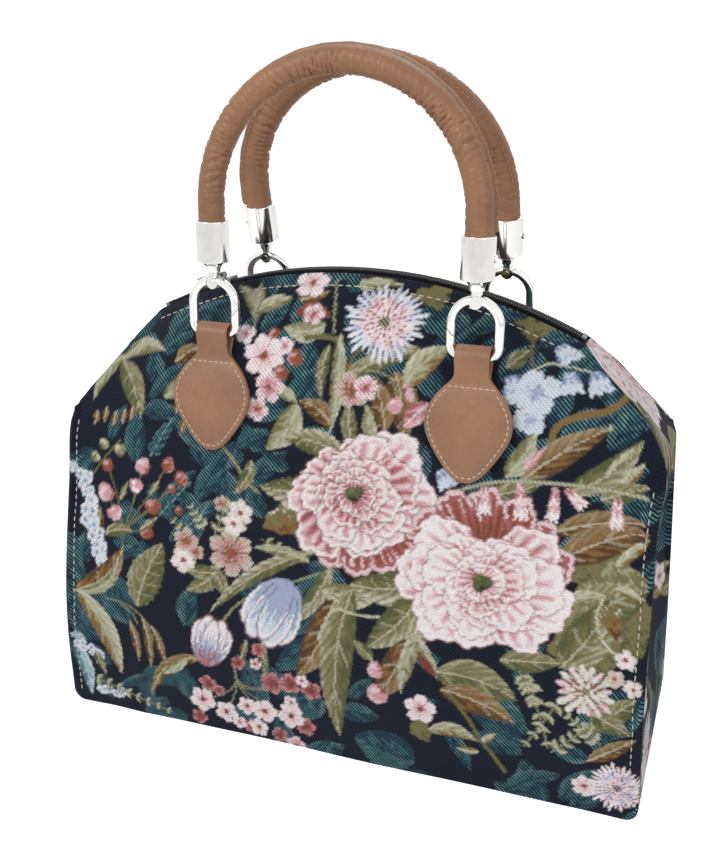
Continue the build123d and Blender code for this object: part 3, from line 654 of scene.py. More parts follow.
def rounded_shoulder(grid):
    slope = unit(shoulder_end - shoulder_start)
    out = np.array((-slope[1], slope[0]))
    apart = grid[..., ::2] - shoulder_start
    along = (apart @ slope) / np.linalg.norm(shoulder_end - shoulder_start)
    hill = np.sin(pi * np.clip((along + 0.12) / 1.5, 0, 1)) ** 2
    near_edge = np.clip(1 + (apart @ out) / puff_reach, 0, 1) ** 1.5
    front_share = np.clip(0.5 - grid[..., 1] / puff_back, 0, 1)
    grid[..., ::2] += (shoulder_puff * hill * near_edge * front_share)[..., None] * out

for grid in (front_grid, gusset_grid):
    rounded_shoulder(grid)
print("the shoulder is puffed by", round(shoulder_puff / MM), "mm")

# %% [markdown]
# ## Making a closed cloth from a grid
# A cloth has two faces and an edge. The outer face takes every point of its grid. The inner
# face is never seen close, so it keeps only the grid's border and every twelfth point inside, and a
# constrained triangulation joins the fine border to the coarse middle.

# %% New pieces
def new_piece(name, points, faces):
    mesh = bpy.data.meshes.new(name)
    mesh.from_pydata(points, [], faces)
    piece = bpy.data.objects.new(name, mesh)
    bpy.context.collection.objects.link(piece)
    return piece

def pick(piece):
    deselect_all()
    bpy.context.view_layer.objects.active = piece
    piece.select_set(True)

def faced_and_smoothed(piece, crease):
    pick(piece)
    bpy.ops.object.mode_set(mode="EDIT")
    bpy.ops.mesh.select_all(action="SELECT")
    bpy.ops.mesh.normals_make_consistent(inside=False)
    bpy.ops.object.mode_set(mode="OBJECT")
    bpy.ops.object.shade_smooth_by_angle(angle=radians(crease))

print("pieces can be made")

# %% A closed sheet
cloth_thickness, cloth_crease = 2.0 * MM, 50

def quads_of(high, wide):
    index = np.arange(high * wide).reshape(high, wide)
    return np.stack([index[:-1, :-1], index[:-1, 1:], index[1:, 1:], index[1:, :-1]], axis=-1).reshape(-1, 4)

def border_of(shape):
    index = np.arange(shape[0] * shape[1]).reshape(shape)
    return np.concatenate((index[0, :-1], index[:-1, -1], index[-1, :0:-1], index[:0:-1, 0]))

def inner_face(shape, step=12):
    high, wide = shape
    border = border_of(shape)
    inner_rows, inner_columns = (range(step, size - step // 2, step) for size in (high, wide))
    inside = [r * wide + c for r in inner_rows for c in inner_columns]
    chosen = np.concatenate((border, np.array(inside, dtype=int)))
    flat = [Vector((i % wide, i // wide)) for i in chosen]
    edges = [(i, (i + 1) % len(border)) for i in range(len(border))]
    _, _, faces, origins, _, _ = delaunay_2d_cdt(flat, edges, [], 1, 1e-4)
    back = [chosen[o[0]] if o else -1 for o in origins]
    return chosen, border, [[back[i] for i in face] for face in faces if all(back[i] >= 0 for i in face)]

def closed_sheet(name, grid, normals, uv, thickness=cloth_thickness):
    high, wide = grid.shape[:2]
    outer, normals = grid.reshape(-1, 3), normals.reshape(-1, 3)
    quads = quads_of(high, wide)
    first = np.cross(outer[quads[0, 1]] - outer[quads[0, 0]], outer[quads[0, 3]] - outer[quads[0, 0]])
    if np.dot(first, normals[quads[0, 0]]) < 0:
        quads = quads[:, ::-1]
    chosen, border, triangles = inner_face((high, wide))
    slot_of = {int(v): high * wide + k for k, v in enumerate(chosen)}
    inner = outer[chosen] - thickness * normals[chosen]
    faces = [tuple(int(i) for i in quad) for quad in quads]
    rim = [(int(a), int(b), slot_of[int(b)], slot_of[int(a)]) for a, b in zip(border, np.roll(border, -1))]
    lining_side = [tuple(slot_of[int(i)] for i in triangle) for triangle in triangles]
    piece = new_piece(name, np.concatenate((outer, inner)).tolist(), faces + rim + lining_side)
    mesh = piece.data
    layer = mesh.uv_layers.new(name="UVMap")
    corner = np.empty(len(mesh.loops), dtype=int)
    mesh.loops.foreach_get("vertex_index", corner)
    both = np.concatenate((uv.reshape(-1, 2), uv.reshape(-1, 2)[chosen]))
    layer.data.foreach_set("uv", both[corner].ravel())
    faced_and_smoothed(piece, cloth_crease)
    return piece, chosen

print("sheets are", cloth_thickness / MM, "mm thick")

# %% [markdown]
# ## Finishes
# Cloth, leather and nickel each get one material made of nodes. Every pattern is in Object
# coordinates or on the cloth's own map, so it stays on its piece in every view. A value that is the
# same all over, such as the sheen, is set on the shader itself.

# %% Patterns for the finishes
def spread(tree, source, low, high, start=0.3, stop=0.7):
    return add_node(tree, "MapRange", source, start, stop, low, high).outputs["Result"]

def brightened(tree, colour, value):
    colour = (*colour, 1) if isinstance(colour, tuple) else colour
    return add_node(tree, "HueSaturation", Color=colour, Value=value).outputs["Color"]

def noise(tree, scale, detail=3.0, stretch=None):
    place = add_node(tree, "TexCoord").outputs["Object"]
    if stretch:
        place = add_node(tree, "Mapping", place, Scale=stretch).outputs["Vector"]
    return add_node(tree, "TexNoise", place, Scale=scale, Detail=detail).outputs["Fac"]

def plus(tree, first, second, factor):
    return add_node(tree, "Math", second, factor, first, operation="MULTIPLY_ADD").outputs[0]

def raise_surface(tree, shader, height, distance, strength):
    made = add_node(tree, "Bump", Height=height, Distance=distance, Strength=strength)
    tree.links.new(made.outputs["Normal"], shader.inputs["Normal"])

print("patterns are ready")

# %% Tapestry
weft_scale, warp_scale, stripe_scale = 370, 524, 262

def woven_finish():
    material, tree, shader = new_finish(
        "tapestry", (0.2, 0.2, 0.2), 0.85, Sheen_Weight=0.04, Sheen_Roughness=0.6, Specular_IOR_Level=0.15)
    cloth_map = add_node(tree, "UVMap", uv_map="UVMap").outputs["UV"]
    face, under, share = (add_node(tree, "Attribute", attribute_name=name)
                          for name in ("thread_face", "thread_under", "thread_share"))
    stripe, weft, warp = (
        add_node(tree, "TexWave", cloth_map, bands_direction=direction, Scale=scale).outputs["Fac"]
        for direction, scale in (("DIAGONAL", stripe_scale), ("Y", weft_scale), ("X", warp_scale)))
    left_over = add_node(tree, "Math", share.outputs["Fac"], stripe, operation="SUBTRACT")
    mix = add_node(tree, "Mix", data_type="RGBA")
    tree.links.new(spread(tree, left_over.outputs[0], 0, 1, 0, 0.16), mix.inputs[0])
    tree.links.new(face.outputs["Color"], mix.inputs[6])
    tree.links.new(under.outputs["Color"], mix.inputs[7])
    # Brightness follows the weft rows, the same wave as the bump: lighter on each row's crown and darker in the
    # grooves between rows, which is painted light and painted shade; the noise mixed in is the yarns' own uneven
    # tone.
    rows = plus(tree, noise(tree, 700, 2, (1, 1, 2.5)), weft, 0.35)
    colour = brightened(tree, mix.outputs[2], spread(tree, rows, 0.72, 1.22, 0.3, 1.05))
    tree.links.new(colour, shader.inputs["Base Color"])
    raise_surface(tree, shader, plus(tree, rows, warp, 0.4), 0.35 * MM, 0.55)
    return material

tapestry = woven_finish()
print("one material for every panel of cloth")

# %% Leather, metal and the rest
def leather_finish(name, colour, pebble=900):
    material, tree, shader = new_finish(
        name, colour, 0.45, Coat_Weight=0.06, Coat_Roughness=0.35, Specular_IOR_Level=0.4)
    patches = plus(tree, noise(tree, 38, 4), noise(tree, 400, 2), 0.35)
    tones = brightened(tree, colour, spread(tree, patches, 0.8, 1.16, 0.45, 0.9))
    tree.links.new(tones, shader.inputs["Base Color"])
    tree.links.new(spread(tree, noise(tree, 90), 0.38, 0.56), shader.inputs["Roughness"])
    place = add_node(tree, "TexCoord").outputs["Object"]
    cells = add_node(tree, "TexVoronoi", place, Scale=pebble).outputs["Distance"]
    raise_surface(tree, shader, plus(tree, noise(tree, 1500, 2), cells, 0.8), 0.12 * MM, 0.4)
    return material

def nickel_finish(name, colour, low=0.06, high=0.16):
    material, tree, shader = new_finish(name, colour, 0.1, Metallic=1.0)
    tree.links.new(spread(tree, noise(tree, 260, 4), low, high), shader.inputs["Roughness"])
    tones = brightened(tree, colour, spread(tree, noise(tree, 60), 0.94, 1.04))
    tree.links.new(tones, shader.inputs["Base Color"])
    raise_surface(tree, shader, noise(tree, 700, 2, (1, 1, 0.08)), 0.02 * MM, 0.15)
    return material

def fibre_finish(name, colour, roughness, scale, stretch=(1, 1, 1), depth=0.2):
    material, tree, shader = new_finish(name, colour, roughness, Sheen_Weight=0.1, Specular_IOR_Level=0.25)
    fibres = noise(tree, scale, 3, stretch)
    tree.links.new(brightened(tree, colour, spread(tree, fibres, 0.75, 1.25)), shader.inputs["Base Color"])
    raise_surface(tree, shader, fibres, depth * MM, 0.5)
    return material

print("leather, nickel and fibres")

# %% A finish on every node
finishes = {
    "tapestry": tapestry,
    "lining_cloth": fibre_finish("lining_cloth", (0.02, 0.02, 0.024), 0.9, 1500),
    "board": fibre_finish("board", (0.03, 0.03, 0.03), 0.8, 600),
    "zip_tape": fibre_finish("zip_tape", (0.011, 0.012, 0.016), 0.85, 1400, (1, 3, 1)),
    "zip_coil": fibre_finish("zip_coil", (0.016, 0.016, 0.02), 0.4, 900, depth=0.05),
    "zip_metal": nickel_finish("zip_metal", (0.2, 0.195, 0.19), 0.2, 0.34),
    "tab_leather": leather_finish("tab_leather", (0.33, 0.165, 0.092)),
    "handle_leather": leather_finish("handle_leather", (0.32, 0.155, 0.077), 700),
    "rope_core": fibre_finish("rope_core", (0.6, 0.55, 0.45), 0.9, 500, (1, 1, 0.3)),
    "spring_steel": nickel_finish("spring_steel", (0.5, 0.5, 0.5), 0.2, 0.3),
    "plated_metal": nickel_finish("plated_metal", (0.9, 0.885, 0.86)),
}
cream_thread = fibre_finish("cream_thread", (0.66, 0.6, 0.47), 0.8, 2500)
tan_thread = fibre_finish("tan_thread", (0.5, 0.32, 0.2), 0.8, 2500)
for part in frame["record"]["subparts"]:
    thing = frame["nodes"][part["node"]]
    thing.data.materials.clear()
    thing.data.materials.append(finishes[part["material_slot"]])
print(len(finishes), "finishes on", len(frame["nodes"]), "nodes")

# %% [markdown]
# ## Where each flower sits
# The lists below say what grows where: a motif, its places in the photograph's pixels, its size in
# pixels, and its colours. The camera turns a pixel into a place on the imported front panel, so the
# flowers keep their places on the cloth itself, seen from any side. Far, hatched leaves come first
# and the big blooms last, as on the real cloth.

# %% From the picture to the cloth
cloth_per_pixel, edge_depth, coarse_step = 0.56, -0.052, 6
front_v = (lengths_up(front_grid) / MM).ravel()
coarse = front_grid[::coarse_step, ::coarse_step]
cloth_tree = BVHTree.FromPolygons(coarse.reshape(-1, 3).tolist(), quads_of(*coarse.shape[:2]).tolist())
cloth_points = nearest_tree([(x, 0, z) for x, _, z in front_grid.reshape(-1, 3)])

def on_cloth(pixel):
    across, above = pixel[0] - picture_width / 2, picture_height / 2 - pixel[1]
    direction = forward * focal_pixels + right * across + up * above
    direction.normalize()
    hit = cloth_tree.ray_cast(camera_place, direction)[0]
    if hit is None:
        hit = camera_place + direction * ((edge_depth - camera_place.y) / direction.y)
    place, number, _ = cloth_points.find((hit.x, 0, hit.z))
    beyond = (hit.z - place.z) / MM if hit.z > place.z or hit.z < 0 else 0
    return hit.x / MM, front_v[number] + beyond

picture_middle = (picture_width / 2, picture_height / 2)
print("the middle of the picture is at", [round(c) for c in on_cloth(picture_middle)], "mm on the cloth")

# %% A line for each plant
def grow(x, y, tip_x, tip_y, width, tones, **words):
    return leaf, (x, y), (tip_x, tip_y), width, dict(tones=tones, **words)

def bloom(x, y, size, tones, count=5, seed=None, **words):
    if seed is not None:
        words["seed"] = seed
    return rosette, (x, y), size, dict(tones=tones, count=count, **words)

def fruit(x, y, size, tones):
    return berry, (x, y), size, dict(tones=tones)

def stalk(width, face, under, *points):
    return stem, points, width, dict(face=face, under=under)

def twig(x, y, tip_x, tip_y, count, size, face, tones=PALES):
    return sprig, (x, y), (tip_x, tip_y), dict(count=count, size=size, face=face, tones=tones)

def clump(x, y, wide, high, tones, turn, rough=0.12):
    return blob, (x, y), wide, high, dict(tones=tones, turn=turn, rough=rough)

def hanging(x, y, tip_x, tip_y, width, tones=BLUES):
    return bell, (x, y), (tip_x, tip_y), width, dict(tones=tones)

def branches(root, fork, sag, colours, *ends):
    lines = []
    for x, y in ends:
        bend = ((fork[0] + x) // 2 + sag[0], (fork[1] + y) // 2 + sag[1])
        lines.append(stalk(1.5, *colours, root, fork, bend, (x, y)))
    return lines

print("a leaf is written as", len(grow(0, 0, 1, 1, 1, GREENS)) - 1, "values")

# %% [markdown]
# The lists below say what grows where. First come the far leaves, in teal stripes, spread over the whole
# cloth: base, tip and width of each.

# %% Far, hatched leaves
hatched_leaves = (
    ((180, 324), (238, 300), 9), ((165, 354), (197, 331), 7), ((150, 398), (194, 360), 8),
    ((135, 462), (140, 410), 12), ((200, 352), (185, 400), 6), ((262, 332), (292, 303), 8),
    ((240, 345), (262, 312), 7), ((315, 404), (310, 336), 14), ((290, 402), (318, 368), 9),
    ((236, 447), (270, 431), 8), ((196, 499), (234, 456), 11), ((214, 470), (236, 442), 6),
    ((246, 490), (287, 452), 10), ((288, 470), (262, 452), 7), ((170, 542), (230, 498), 9),
    ((157, 515), (196, 470), 7), ((268, 350), (300, 330), 8), ((110, 440), (128, 405), 7),
    ((152, 455), (176, 420), 7), ((118, 560), (140, 545), 6), ((236, 445), (208, 480), 6),
    ((470, 335), (530, 318), 10), ((500, 380), (540, 345), 10), ((540, 345), (600, 335), 12),
    ((560, 400), (610, 350), 14), ((600, 400), (640, 380), 13), ((560, 450), (620, 415), 14),
    ((610, 450), (650, 420), 12), ((480, 310), (520, 300), 7), ((450, 310), (470, 345), 8),
    ((590, 500), (650, 470), 13), ((520, 470), (560, 440), 10), ((640, 520), (600, 490), 10),
    ((560, 560), (610, 530), 12), ((445, 360), (480, 330), 8), ((620, 350), (650, 400), 9),
    ((575, 330), (625, 345), 8), ((310, 640), (275, 670), 13), ((315, 605), (290, 635), 11),
    ((236, 655), (255, 690), 7), ((215, 590), (190, 570), 6), ((415, 760), (355, 735), 24),
    ((430, 775), (360, 765), 12), ((470, 700), (528, 735), 20), ((525, 745), (480, 720), 10),
    ((505, 790), (560, 775), 11), ((560, 800), (600, 770), 10), ((590, 760), (550, 745), 9),
    ((120, 690), (150, 675), 6), ((95, 600), (75, 560), 8), ((90, 640), (70, 610), 8),
    ((330, 740), (300, 770), 9), ((350, 700), (372, 680), 7), ((445, 730), (470, 770), 8),
    ((640, 700), (610, 740), 9), ((655, 560), (630, 600), 9), ((440, 660), (400, 650), 8),
    ((300, 600), (330, 570), 8),
)

far_leaves = [(leaf, *shape, dict(bend=0.05, tones=TEALS, hatch=0.5, veins=4)) for shape in hatched_leaves]
far_leaves += [
    twig(150, 456, 173, 418, 5, 5.2, PALE_TEAL, TEALS), twig(160, 515, 190, 482, 5, 4.6, PALE_TEAL, TEALS),
    twig(176, 540, 206, 508, 4, 4.6, PALE_TEAL, TEALS),
]

print(len(far_leaves), "in far_leaves")

# %% [markdown]
# The upper left has long leaves, pale and brown, and the round blossoms beside the left tab.

# %% Upper left
top_left_foliage = [
    grow(126, 354, 94, 400, 8, PALES, bend=-0.1, cream=0.2),
    grow(124, 360, 141, 419, 13, GREENS, veins=4, bend=0.08),
    grow(126, 356, 165, 350, 10, PALES, bend=0.16, cream=0.3), grow(118, 352, 96, 372, 6, PALES, bend=0.1),
    *(grow(x, y, x - 3, y + 15, 4, BROWNS, veins=0)
      for x, y in ((98, 410), (107, 407), (116, 411), (125, 409), (133, 406))),
    grow(176, 362, 202, 347, 9, BROWNS, veins=4, bend=0.08),
    grow(164, 398, 188, 371, 8, PALES, bend=-0.06, cream=0.15),
    grow(178, 400, 176, 414, 4, BROWNS, veins=0), grow(186, 418, 180, 434, 5, BROWNS, veins=0),
    grow(256, 320, 262, 283, 7, PALES, cream=0.25),
    grow(257, 312, 294, 298, 8, PALES, bend=0.1, cream=0.25),
    grow(256, 312, 240, 287, 7, PALES, bend=-0.1, cream=0.2),
    stalk(2, SAGE, MOSS, (262, 300), (256, 315), (253, 334)),
    grow(326, 326, 284, 327, 11, PALES, bend=0.12, cream=0.35),
    grow(300, 300, 330, 292, 7, BROWNS, veins=0), grow(296, 312, 331, 318, 9, RUSTS, veins=0, bend=0.1),
    bloom(313, 283, 17, PALE_PINKS, 5, 0.3), bloom(314, 314, 11, PINKS, 5, 1.3),
    stalk(2.4, SAGE, MOSS, (337, 281), (336, 300), (334, 332)),
    stalk(5, OLIVE, MOSS, (306, 338), (322, 336), (340, 340)),
    grow(340, 334, 329, 434, 7, PALES, veins=9, bend=0.05, cream=0.1),
    grow(330, 345, 321, 400, 6, GREENS, veins=0, bend=-0.06),
    grow(352, 446, 350, 402, 8, GREENS, veins=6, bend=0.05),
    grow(369, 446, 366, 404, 7, PALES, veins=6, bend=-0.04),
    stalk(2.4, BROWN, BARK, (366, 345), (348, 362), (344, 385)),
    grow(346, 376, 385, 361, 8, GREENS, veins=4, bend=0.05),
    grow(395, 372, 405, 440, 15, BROWNS, veins=3, bend=0.05),
    grow(385, 432, 373, 376, 11, BROWNS, veins=3, bend=-0.05),
]

left_tab_blossom = [
    grow(298, 405, 266, 450, 13, PALES, bend=0.1, cream=0.2),
    grow(278, 388, 297, 403, 6, PALES, cream=0.4),
    grow(332, 426, 299, 401, 10, BROWNS, veins=3, bend=-0.12), bloom(264, 356, 21, PALE_PINKS, 6, 0.8),
    bloom(246, 334, 10, PALE_PINKS, 4, 2), bloom(269, 388, 15, PINKS, 5, 0.1),
    bloom(257, 409, 12, PINKS, 5, 1.1), bloom(285, 346, 9, PALE_PINKS, 5, 0.5),
    fruit(295, 359, 8, BERRY_REDS), fruit(281, 373, 8, BERRY_REDS), fruit(274, 333, 6, BERRY_REDS),
]

left_peony_leaves = [
    grow(345, 455, 284, 437, 13, GREENS, veins=7, bend=-0.06, cream=0.28, saw=0.3),
    grow(328, 486, 260, 486, 15, GREENS, veins=6, bend=0.08, cream=0.3, saw=0.3),
    clump(284, 520, 20, 15, BROWNS, 0.4),
    stalk(3, SAGE, BROWN, (222, 446), (238, 466), (243, 480), (258, 492)),
    grow(252, 460, 233, 494, 7, GREENS, bend=0.1), bloom(240, 513, 14, WHITES, 6, 0.4),
    bloom(222, 505, 9, RUSSETS, 5, 1.4), twig(205, 530, 190, 505, 4, 5.2, SAGE),
    twig(215, 535, 228, 497, 4, 4.6, SAGE), twig(190, 536, 172, 520, 3, 4.6, OLIVE),
]

print(len(left_peony_leaves), "in left_peony_leaves")

# %% [markdown]
# On the left edge hang berries on thin twigs, with pale blue florets and a cluster of flowers below them.

# %% Berries and mixed flowers
berries = branches(
    (121, 552), (124, 530), (2, 0), (OLIVE, MOSS), (143, 466), (108, 465), (106, 492), (136, 486), (115, 513),
    (168, 465), (181, 479), (153, 507), (147, 532))
berries += [
    stalk(1.8, OLIVE, MOSS, (88, 482), (104, 458), (120, 440)), fruit(95, 457, 6, GREENS),
    fruit(104, 444, 6, GREENS), fruit(120, 450, 7, GREENS), fruit(143, 466, 9, BERRY_PINKS),
    fruit(108, 465, 7, BERRY_REDS), fruit(106, 492, 10, BERRY_PINKS),
    fruit(136, 486, 8, (ROSE, PINK, WHITE)), fruit(115, 513, 9, BERRY_PINKS),
    fruit(168, 465, 8, BERRY_REDS), fruit(181, 479, 8, BERRY_REDS), fruit(172, 489, 5, BERRY_REDS),
    fruit(153, 507, 9, BERRY_REDS), fruit(179, 511, 5, BERRY_REDS), fruit(147, 532, 8, BERRY_REDS),
    grow(105, 534, 134, 532, 7, GREENS, veins=0, bend=0.1), grow(98, 532, 101, 508, 6, BROWNS, veins=0),
    grow(140, 530, 158, 518, 4, GREENS, veins=0), grow(150, 495, 160, 480, 3.5, GREENS, veins=0),
    grow(120, 500, 128, 482, 3.5, GREENS, veins=0),
]

left_florets = [
    (florets, (76, 468), (106, 566), 12, dict(count=30, size=3.5)),
    grow(74, 590, 123, 546, 13, BROWNS, veins=3, bend=-0.14, cream=0.1),
    grow(76, 592, 118, 556, 5, PALES, veins=0, bend=-0.2),
    grow(137, 606, 163, 544, 19, GREENS, veins=6, bend=0.05, saw=0.25),
    grow(78, 590, 122, 674, 13, CREAMS, veins=0, bend=0.1, cream=0.5),
    stalk(1.5, SAGE, MOSS, (106, 598), (128, 604), (150, 625), (153, 640)),
    stalk(1.5, SAGE, MOSS, (120, 604), (132, 612), (137, 624)),
    grow(129, 620, 139, 661, 5, BROWNS, veins=0, bend=0.05),
    grow(142, 618, 151, 668, 5, BROWNS, veins=0, bend=0.05),
    grow(151, 626, 165, 666, 5, BROWNS, veins=0, bend=0.05),
    grow(202, 658, 152, 695, 8, BROWNS, veins=3, bend=-0.16),
    grow(186, 660, 164, 674, 6, PALES, cream=0.3),
]

mixed_flowers = [
    grow(220, 566, 185, 590, 10, GREENS, veins=3, bend=0.1), grow(212, 566, 226, 596, 9, GREENS, veins=3),
    grow(216, 574, 186, 570, 8, GREENS, veins=3), bloom(186, 541, 14, RUSSETS, 5, 0.2),
    bloom(183, 560, 14, WHITES, 5, 0.9), bloom(196, 552, 9, RUSSETS, 5, 1.9),
    bloom(231, 553, 25, RUSSETS, 6, 0.6), bloom(234, 524, 13, WHITES, 6, 1.8),
    twig(262, 540, 290, 552, 3, 4.6, OLIVE, GREENS),
]

print(len(mixed_flowers), "in mixed_flowers")

# %% [markdown]
# The lower left has two tulips, the leaves under the left peony and a branch of small dark blossom.

# %% Tulips and the lower left
tulip_group = [
    grow(316, 552, 210, 612, 8, GREENS, veins=2, bend=-0.07, cream=0.3),
    grow(310, 562, 254, 547, 6, PALES, veins=3, bend=-0.05),
    stalk(2.4, SAGE, MOSS, (330, 570), (270, 590), (240, 600), (222, 622)),
    grow(332, 562, 284, 628, 9, GREENS, veins=2, bend=0.08, cream=0.2),
    (tulip, (290, 584), (258, 640), 29, dict(seed=0.4)),
    (tulip, (204, 664), (216, 620), 21, dict(tones=(WINE, ROSE, LAVENDER, WHITE, WHITE), seed=1.4)),
    grow(262, 640, 266, 684, 4.5, GREENS, veins=0), grow(246, 640, 240, 662, 4, BROWNS, veins=0),
]

under_left_peony = [
    grow(322, 590, 376, 600, 13, PALES, veins=6, bend=-0.05, cream=0.35),
    grow(334, 600, 296, 676, 17, BROWNS, veins=3, bend=0.06, cream=0.05),
    grow(352, 590, 340, 736, 17, GREENS, veins=3, bend=-0.06),
    stalk(2.6, CREAM, SAGE, (384, 618), (356, 616), (332, 606), (318, 640)),
    grow(420, 586, 350, 584, 17, GREENS, bend=0.06, cream=0.35),
    grow(420, 598, 366, 648, 17, GREENS, veins=4, bend=0.05, cream=0.2),
    grow(408, 640, 372, 700, 15, BROWNS, veins=3, bend=0.05),
    grow(432, 622, 400, 694, 8, PALES, bend=-0.08, cream=0.2), grow(420, 640, 438, 680, 5, PALES, veins=3),
    grow(372, 660, 354, 640, 7, GREENS, veins=2), fruit(375, 670, 9, BERRY_PINKS),
    fruit(377, 694, 11, BERRY_PINKS), fruit(447, 680, 6, BERRY_PINKS),
    grow(418, 655, 436, 678, 5, (WINE, WINE, ROSE, WINE), veins=0),
]

low_blossom = branches(
    (233, 662), (238, 686), (0, 2), (SAGE, BARK), (205, 700), (227, 712), (264, 712), (290, 718), (270, 690),
    (302, 690))
for tones, flowers in (
    (WINES, ((238, 663, 8), (258, 650, 8))),
    (PINKS, ((255, 664, 7),)),
    (WINES, ((208, 684, 10), (219, 690, 7), (272, 684, 13), (290, 684, 12), (311, 691, 11), (252, 726, 9),
             (306, 727, 11), (200, 716, 9), (280, 735, 9))),
    (PALE_PINKS, ((203, 699, 15), (227, 712, 13), (247, 706, 11), (265, 711, 14), (259, 727, 11),
                  (291, 716, 15), (291, 703, 8), (302, 681, 7))),
    (PINKS, ((262, 740, 7), (296, 745, 11))),
    (PALE_PINKS, ((240, 722, 8),)),
):
    low_blossom += [bloom(x, y, size, tones, seed=0.37 * x, heart=WINE) for x, y, size in flowers]

bottom_left = [
    grow(76, 640, 92, 694, 9, FROST, veins=4, bend=0.05, cream=0.3),
    grow(72, 632, 86, 640, 6, FROST, veins=3),
    (florets, (78, 640), (104, 662), 7, dict(count=9, size=2.9)),
    (florets, (96, 686), (126, 694), 6, dict(count=7, size=2.9)), twig(92, 676, 172, 712, 8, 5.2, SAGE),
    grow(96, 650, 106, 674, 5, GREENS, veins=0),
]

print(len(low_blossom), "in low_blossom")

# %% [markdown]
# On the right stand the aster and the bells, with broad leaves and clumps of green under them.

# %% Top and right
top_and_right = [
    grow(360, 281, 404, 286, 5, PALES, cream=0.2), grow(372, 290, 358, 284, 4, PALES),
    clump(434, 296, 16, 13, MOSSES, 0.2, rough=0.2),
    grow(358, 372, 424, 350, 10, GREENS, veins=4, bend=0.08, cream=0.25),
    grow(405, 388, 452, 346, 12, CREAMS, veins=3, bend=0.1, cream=0.4),
    stalk(1.8, SAGE, MOSS, (368, 370), (392, 376), (397, 396)), (aster, (385, 322), 39, dict(seed=0.5)),
    bloom(352, 390, 17, RUSSETS, 5, 0.6), bloom(366, 388, 12, PINKS, 5, 1.6),
    fruit(395, 405, 8, BERRY_PINKS), grow(404, 385, 413, 404, 5, BUDS, veins=0),
    grow(428, 404, 402, 428, 9, PALE_PINKS, veins=0),
    stalk(1.8, BROWN, MOSS, (404, 390), (403, 420), (404, 450)),
    clump(536, 329, 15, 11, MOSSES, 0.1, rough=0.25), grow(507, 368, 530, 350, 8, GREENS, veins=0),
    stalk(2, BROWN, MOSS, (534, 338), (531, 352), (534, 372)),
    stalk(2, CREAM, SAGE, (526, 376), (548, 362), (566, 366), (590, 372)), hanging(560, 346, 573, 362, 13),
    hanging(586, 350, 602, 370, 12), hanging(570, 372, 573, 394, 11), hanging(596, 372, 603, 394, 12),
    hanging(512, 376, 516, 404, 12), bloom(537, 393, 21, BLUES, 4, heart=LAVENDER),
    bloom(530, 420, 15, BLUES, 3, heart=LAVENDER), hanging(440, 470, 449, 488, 10),
    stalk(6, BROWN, OLIVE, (549, 450), (556, 424), (588, 414), (612, 412), (634, 400)),
    grow(520, 484, 612, 428, 13, BROWNS, veins=2, bend=0.04, cream=0.06),
    grow(612, 432, 610, 424, 3, PALES),
    grow(568, 492, 644, 440, 12, GREENS, veins=2, bend=-0.1, cream=0.2),
    grow(606, 476, 636, 448, 3.5, PALES, cream=0.5),
    grow(506, 478, 536, 432, 10, PALES, veins=0, bend=-0.05, cream=0.3),
    grow(524, 470, 546, 448, 4, BUDS, veins=0), grow(621, 490, 646, 464, 5, CREAMS, veins=0, cream=0.4),
    grow(556, 532, 646, 528, 12, BROWNS, veins=3, bend=0.05), grow(480, 500, 540, 486, 9, GREENS, veins=3),
    grow(600, 500, 650, 488, 9, GREENS, veins=2),
]

right_greens = [
    clump(590, 560, 36, 24, CLUMP_GREENS, 0.3, rough=0.1),
    clump(615, 610, 34, 40, CLUMP_GREENS, 0.2, rough=0.12),
    clump(588, 650, 32, 24, CLUMP_GREENS, 0.2, rough=0.1),
    grow(560, 640, 648, 590, 24, GREENS, veins=3, bend=0.06, cream=0.05),
    grow(560, 668, 612, 600, 20, GREENS, veins=3, bend=-0.05, cream=0.1),
    grow(562, 560, 650, 534, 16, BROWNS, veins=2, bend=0.05),
    grow(616, 568, 650, 540, 5, CREAMS, veins=0, cream=0.6),
    grow(616, 588, 646, 600, 4, CREAMS, veins=0, cream=0.6), grow(566, 600, 606, 596, 7, PALES, cream=0.3),
    stalk(2.4, CREAM, SAGE, (604, 598), (594, 620), (606, 648), (618, 656)),
    grow(600, 640, 622, 612, 4, PALES), clump(612, 620, 9, 16, BROWNS, 0.2),
]

print(len(right_greens), "in right_greens")

# %% [markdown]
# The lower right has twigs, a daisy and a plume. The two peonies come last, because they lie on top.

# %% Lower right and peonies
low_right = [
    grow(436, 672, 516, 700, 19, GREENS, veins=2, bend=0.08),
    grow(440, 690, 514, 724, 14, BROWNS, veins=2, bend=0.06),
    grow(500, 660, 560, 664, 12, GREENS, veins=2),
    stalk(3.6, OLIVE, MOSS, (449, 694), (466, 716), (482, 742), (505, 772)),
    grow(428, 730, 478, 742, 8, CREAMS, veins=3, bend=0.14, cream=0.2),
    grow(482, 742, 496, 734, 4, CREAMS, cream=0.5), grow(478, 752, 456, 748, 4, CREAMS, cream=0.4),
    clump(421, 730, 10, 13, MOSSES, 0.2), bloom(420, 709, 16, PALE_PINKS, 5, 0.3),
    twig(528, 676, 548, 748, 5, 5.8, SAGE), twig(552, 752, 590, 726, 5, 5.8, SAGE),
    twig(560, 700, 524, 746, 5, 5.8, SAGE), twig(520, 672, 534, 706, 5, 5.8, SAGE),
    twig(600, 745, 566, 715, 5, 5.8, SAGE), grow(590, 730, 636, 700, 12, GREENS, veins=3),
    grow(588, 712, 630, 736, 11, GREENS, veins=3), (daisy, (585, 692), 28, dict(seed=0.4)),
    bloom(626, 661, 10, WHITES, 5, 0.4), bloom(615, 680, 9, (BROWN, PINK, CREAM, CREAM), 5, 1),
    bloom(633, 690, 9, WHITES, 5, 2), grow(588, 762, 636, 740, 8, BROWNS, veins=4),
    (plume, (617, 789), 27, dict(seed=0.8)), bloom(584, 786, 12, PALE_PINKS, 6, 0.8),
    bloom(604, 816, 11, PALE_PINKS, 6, 0.2),
]

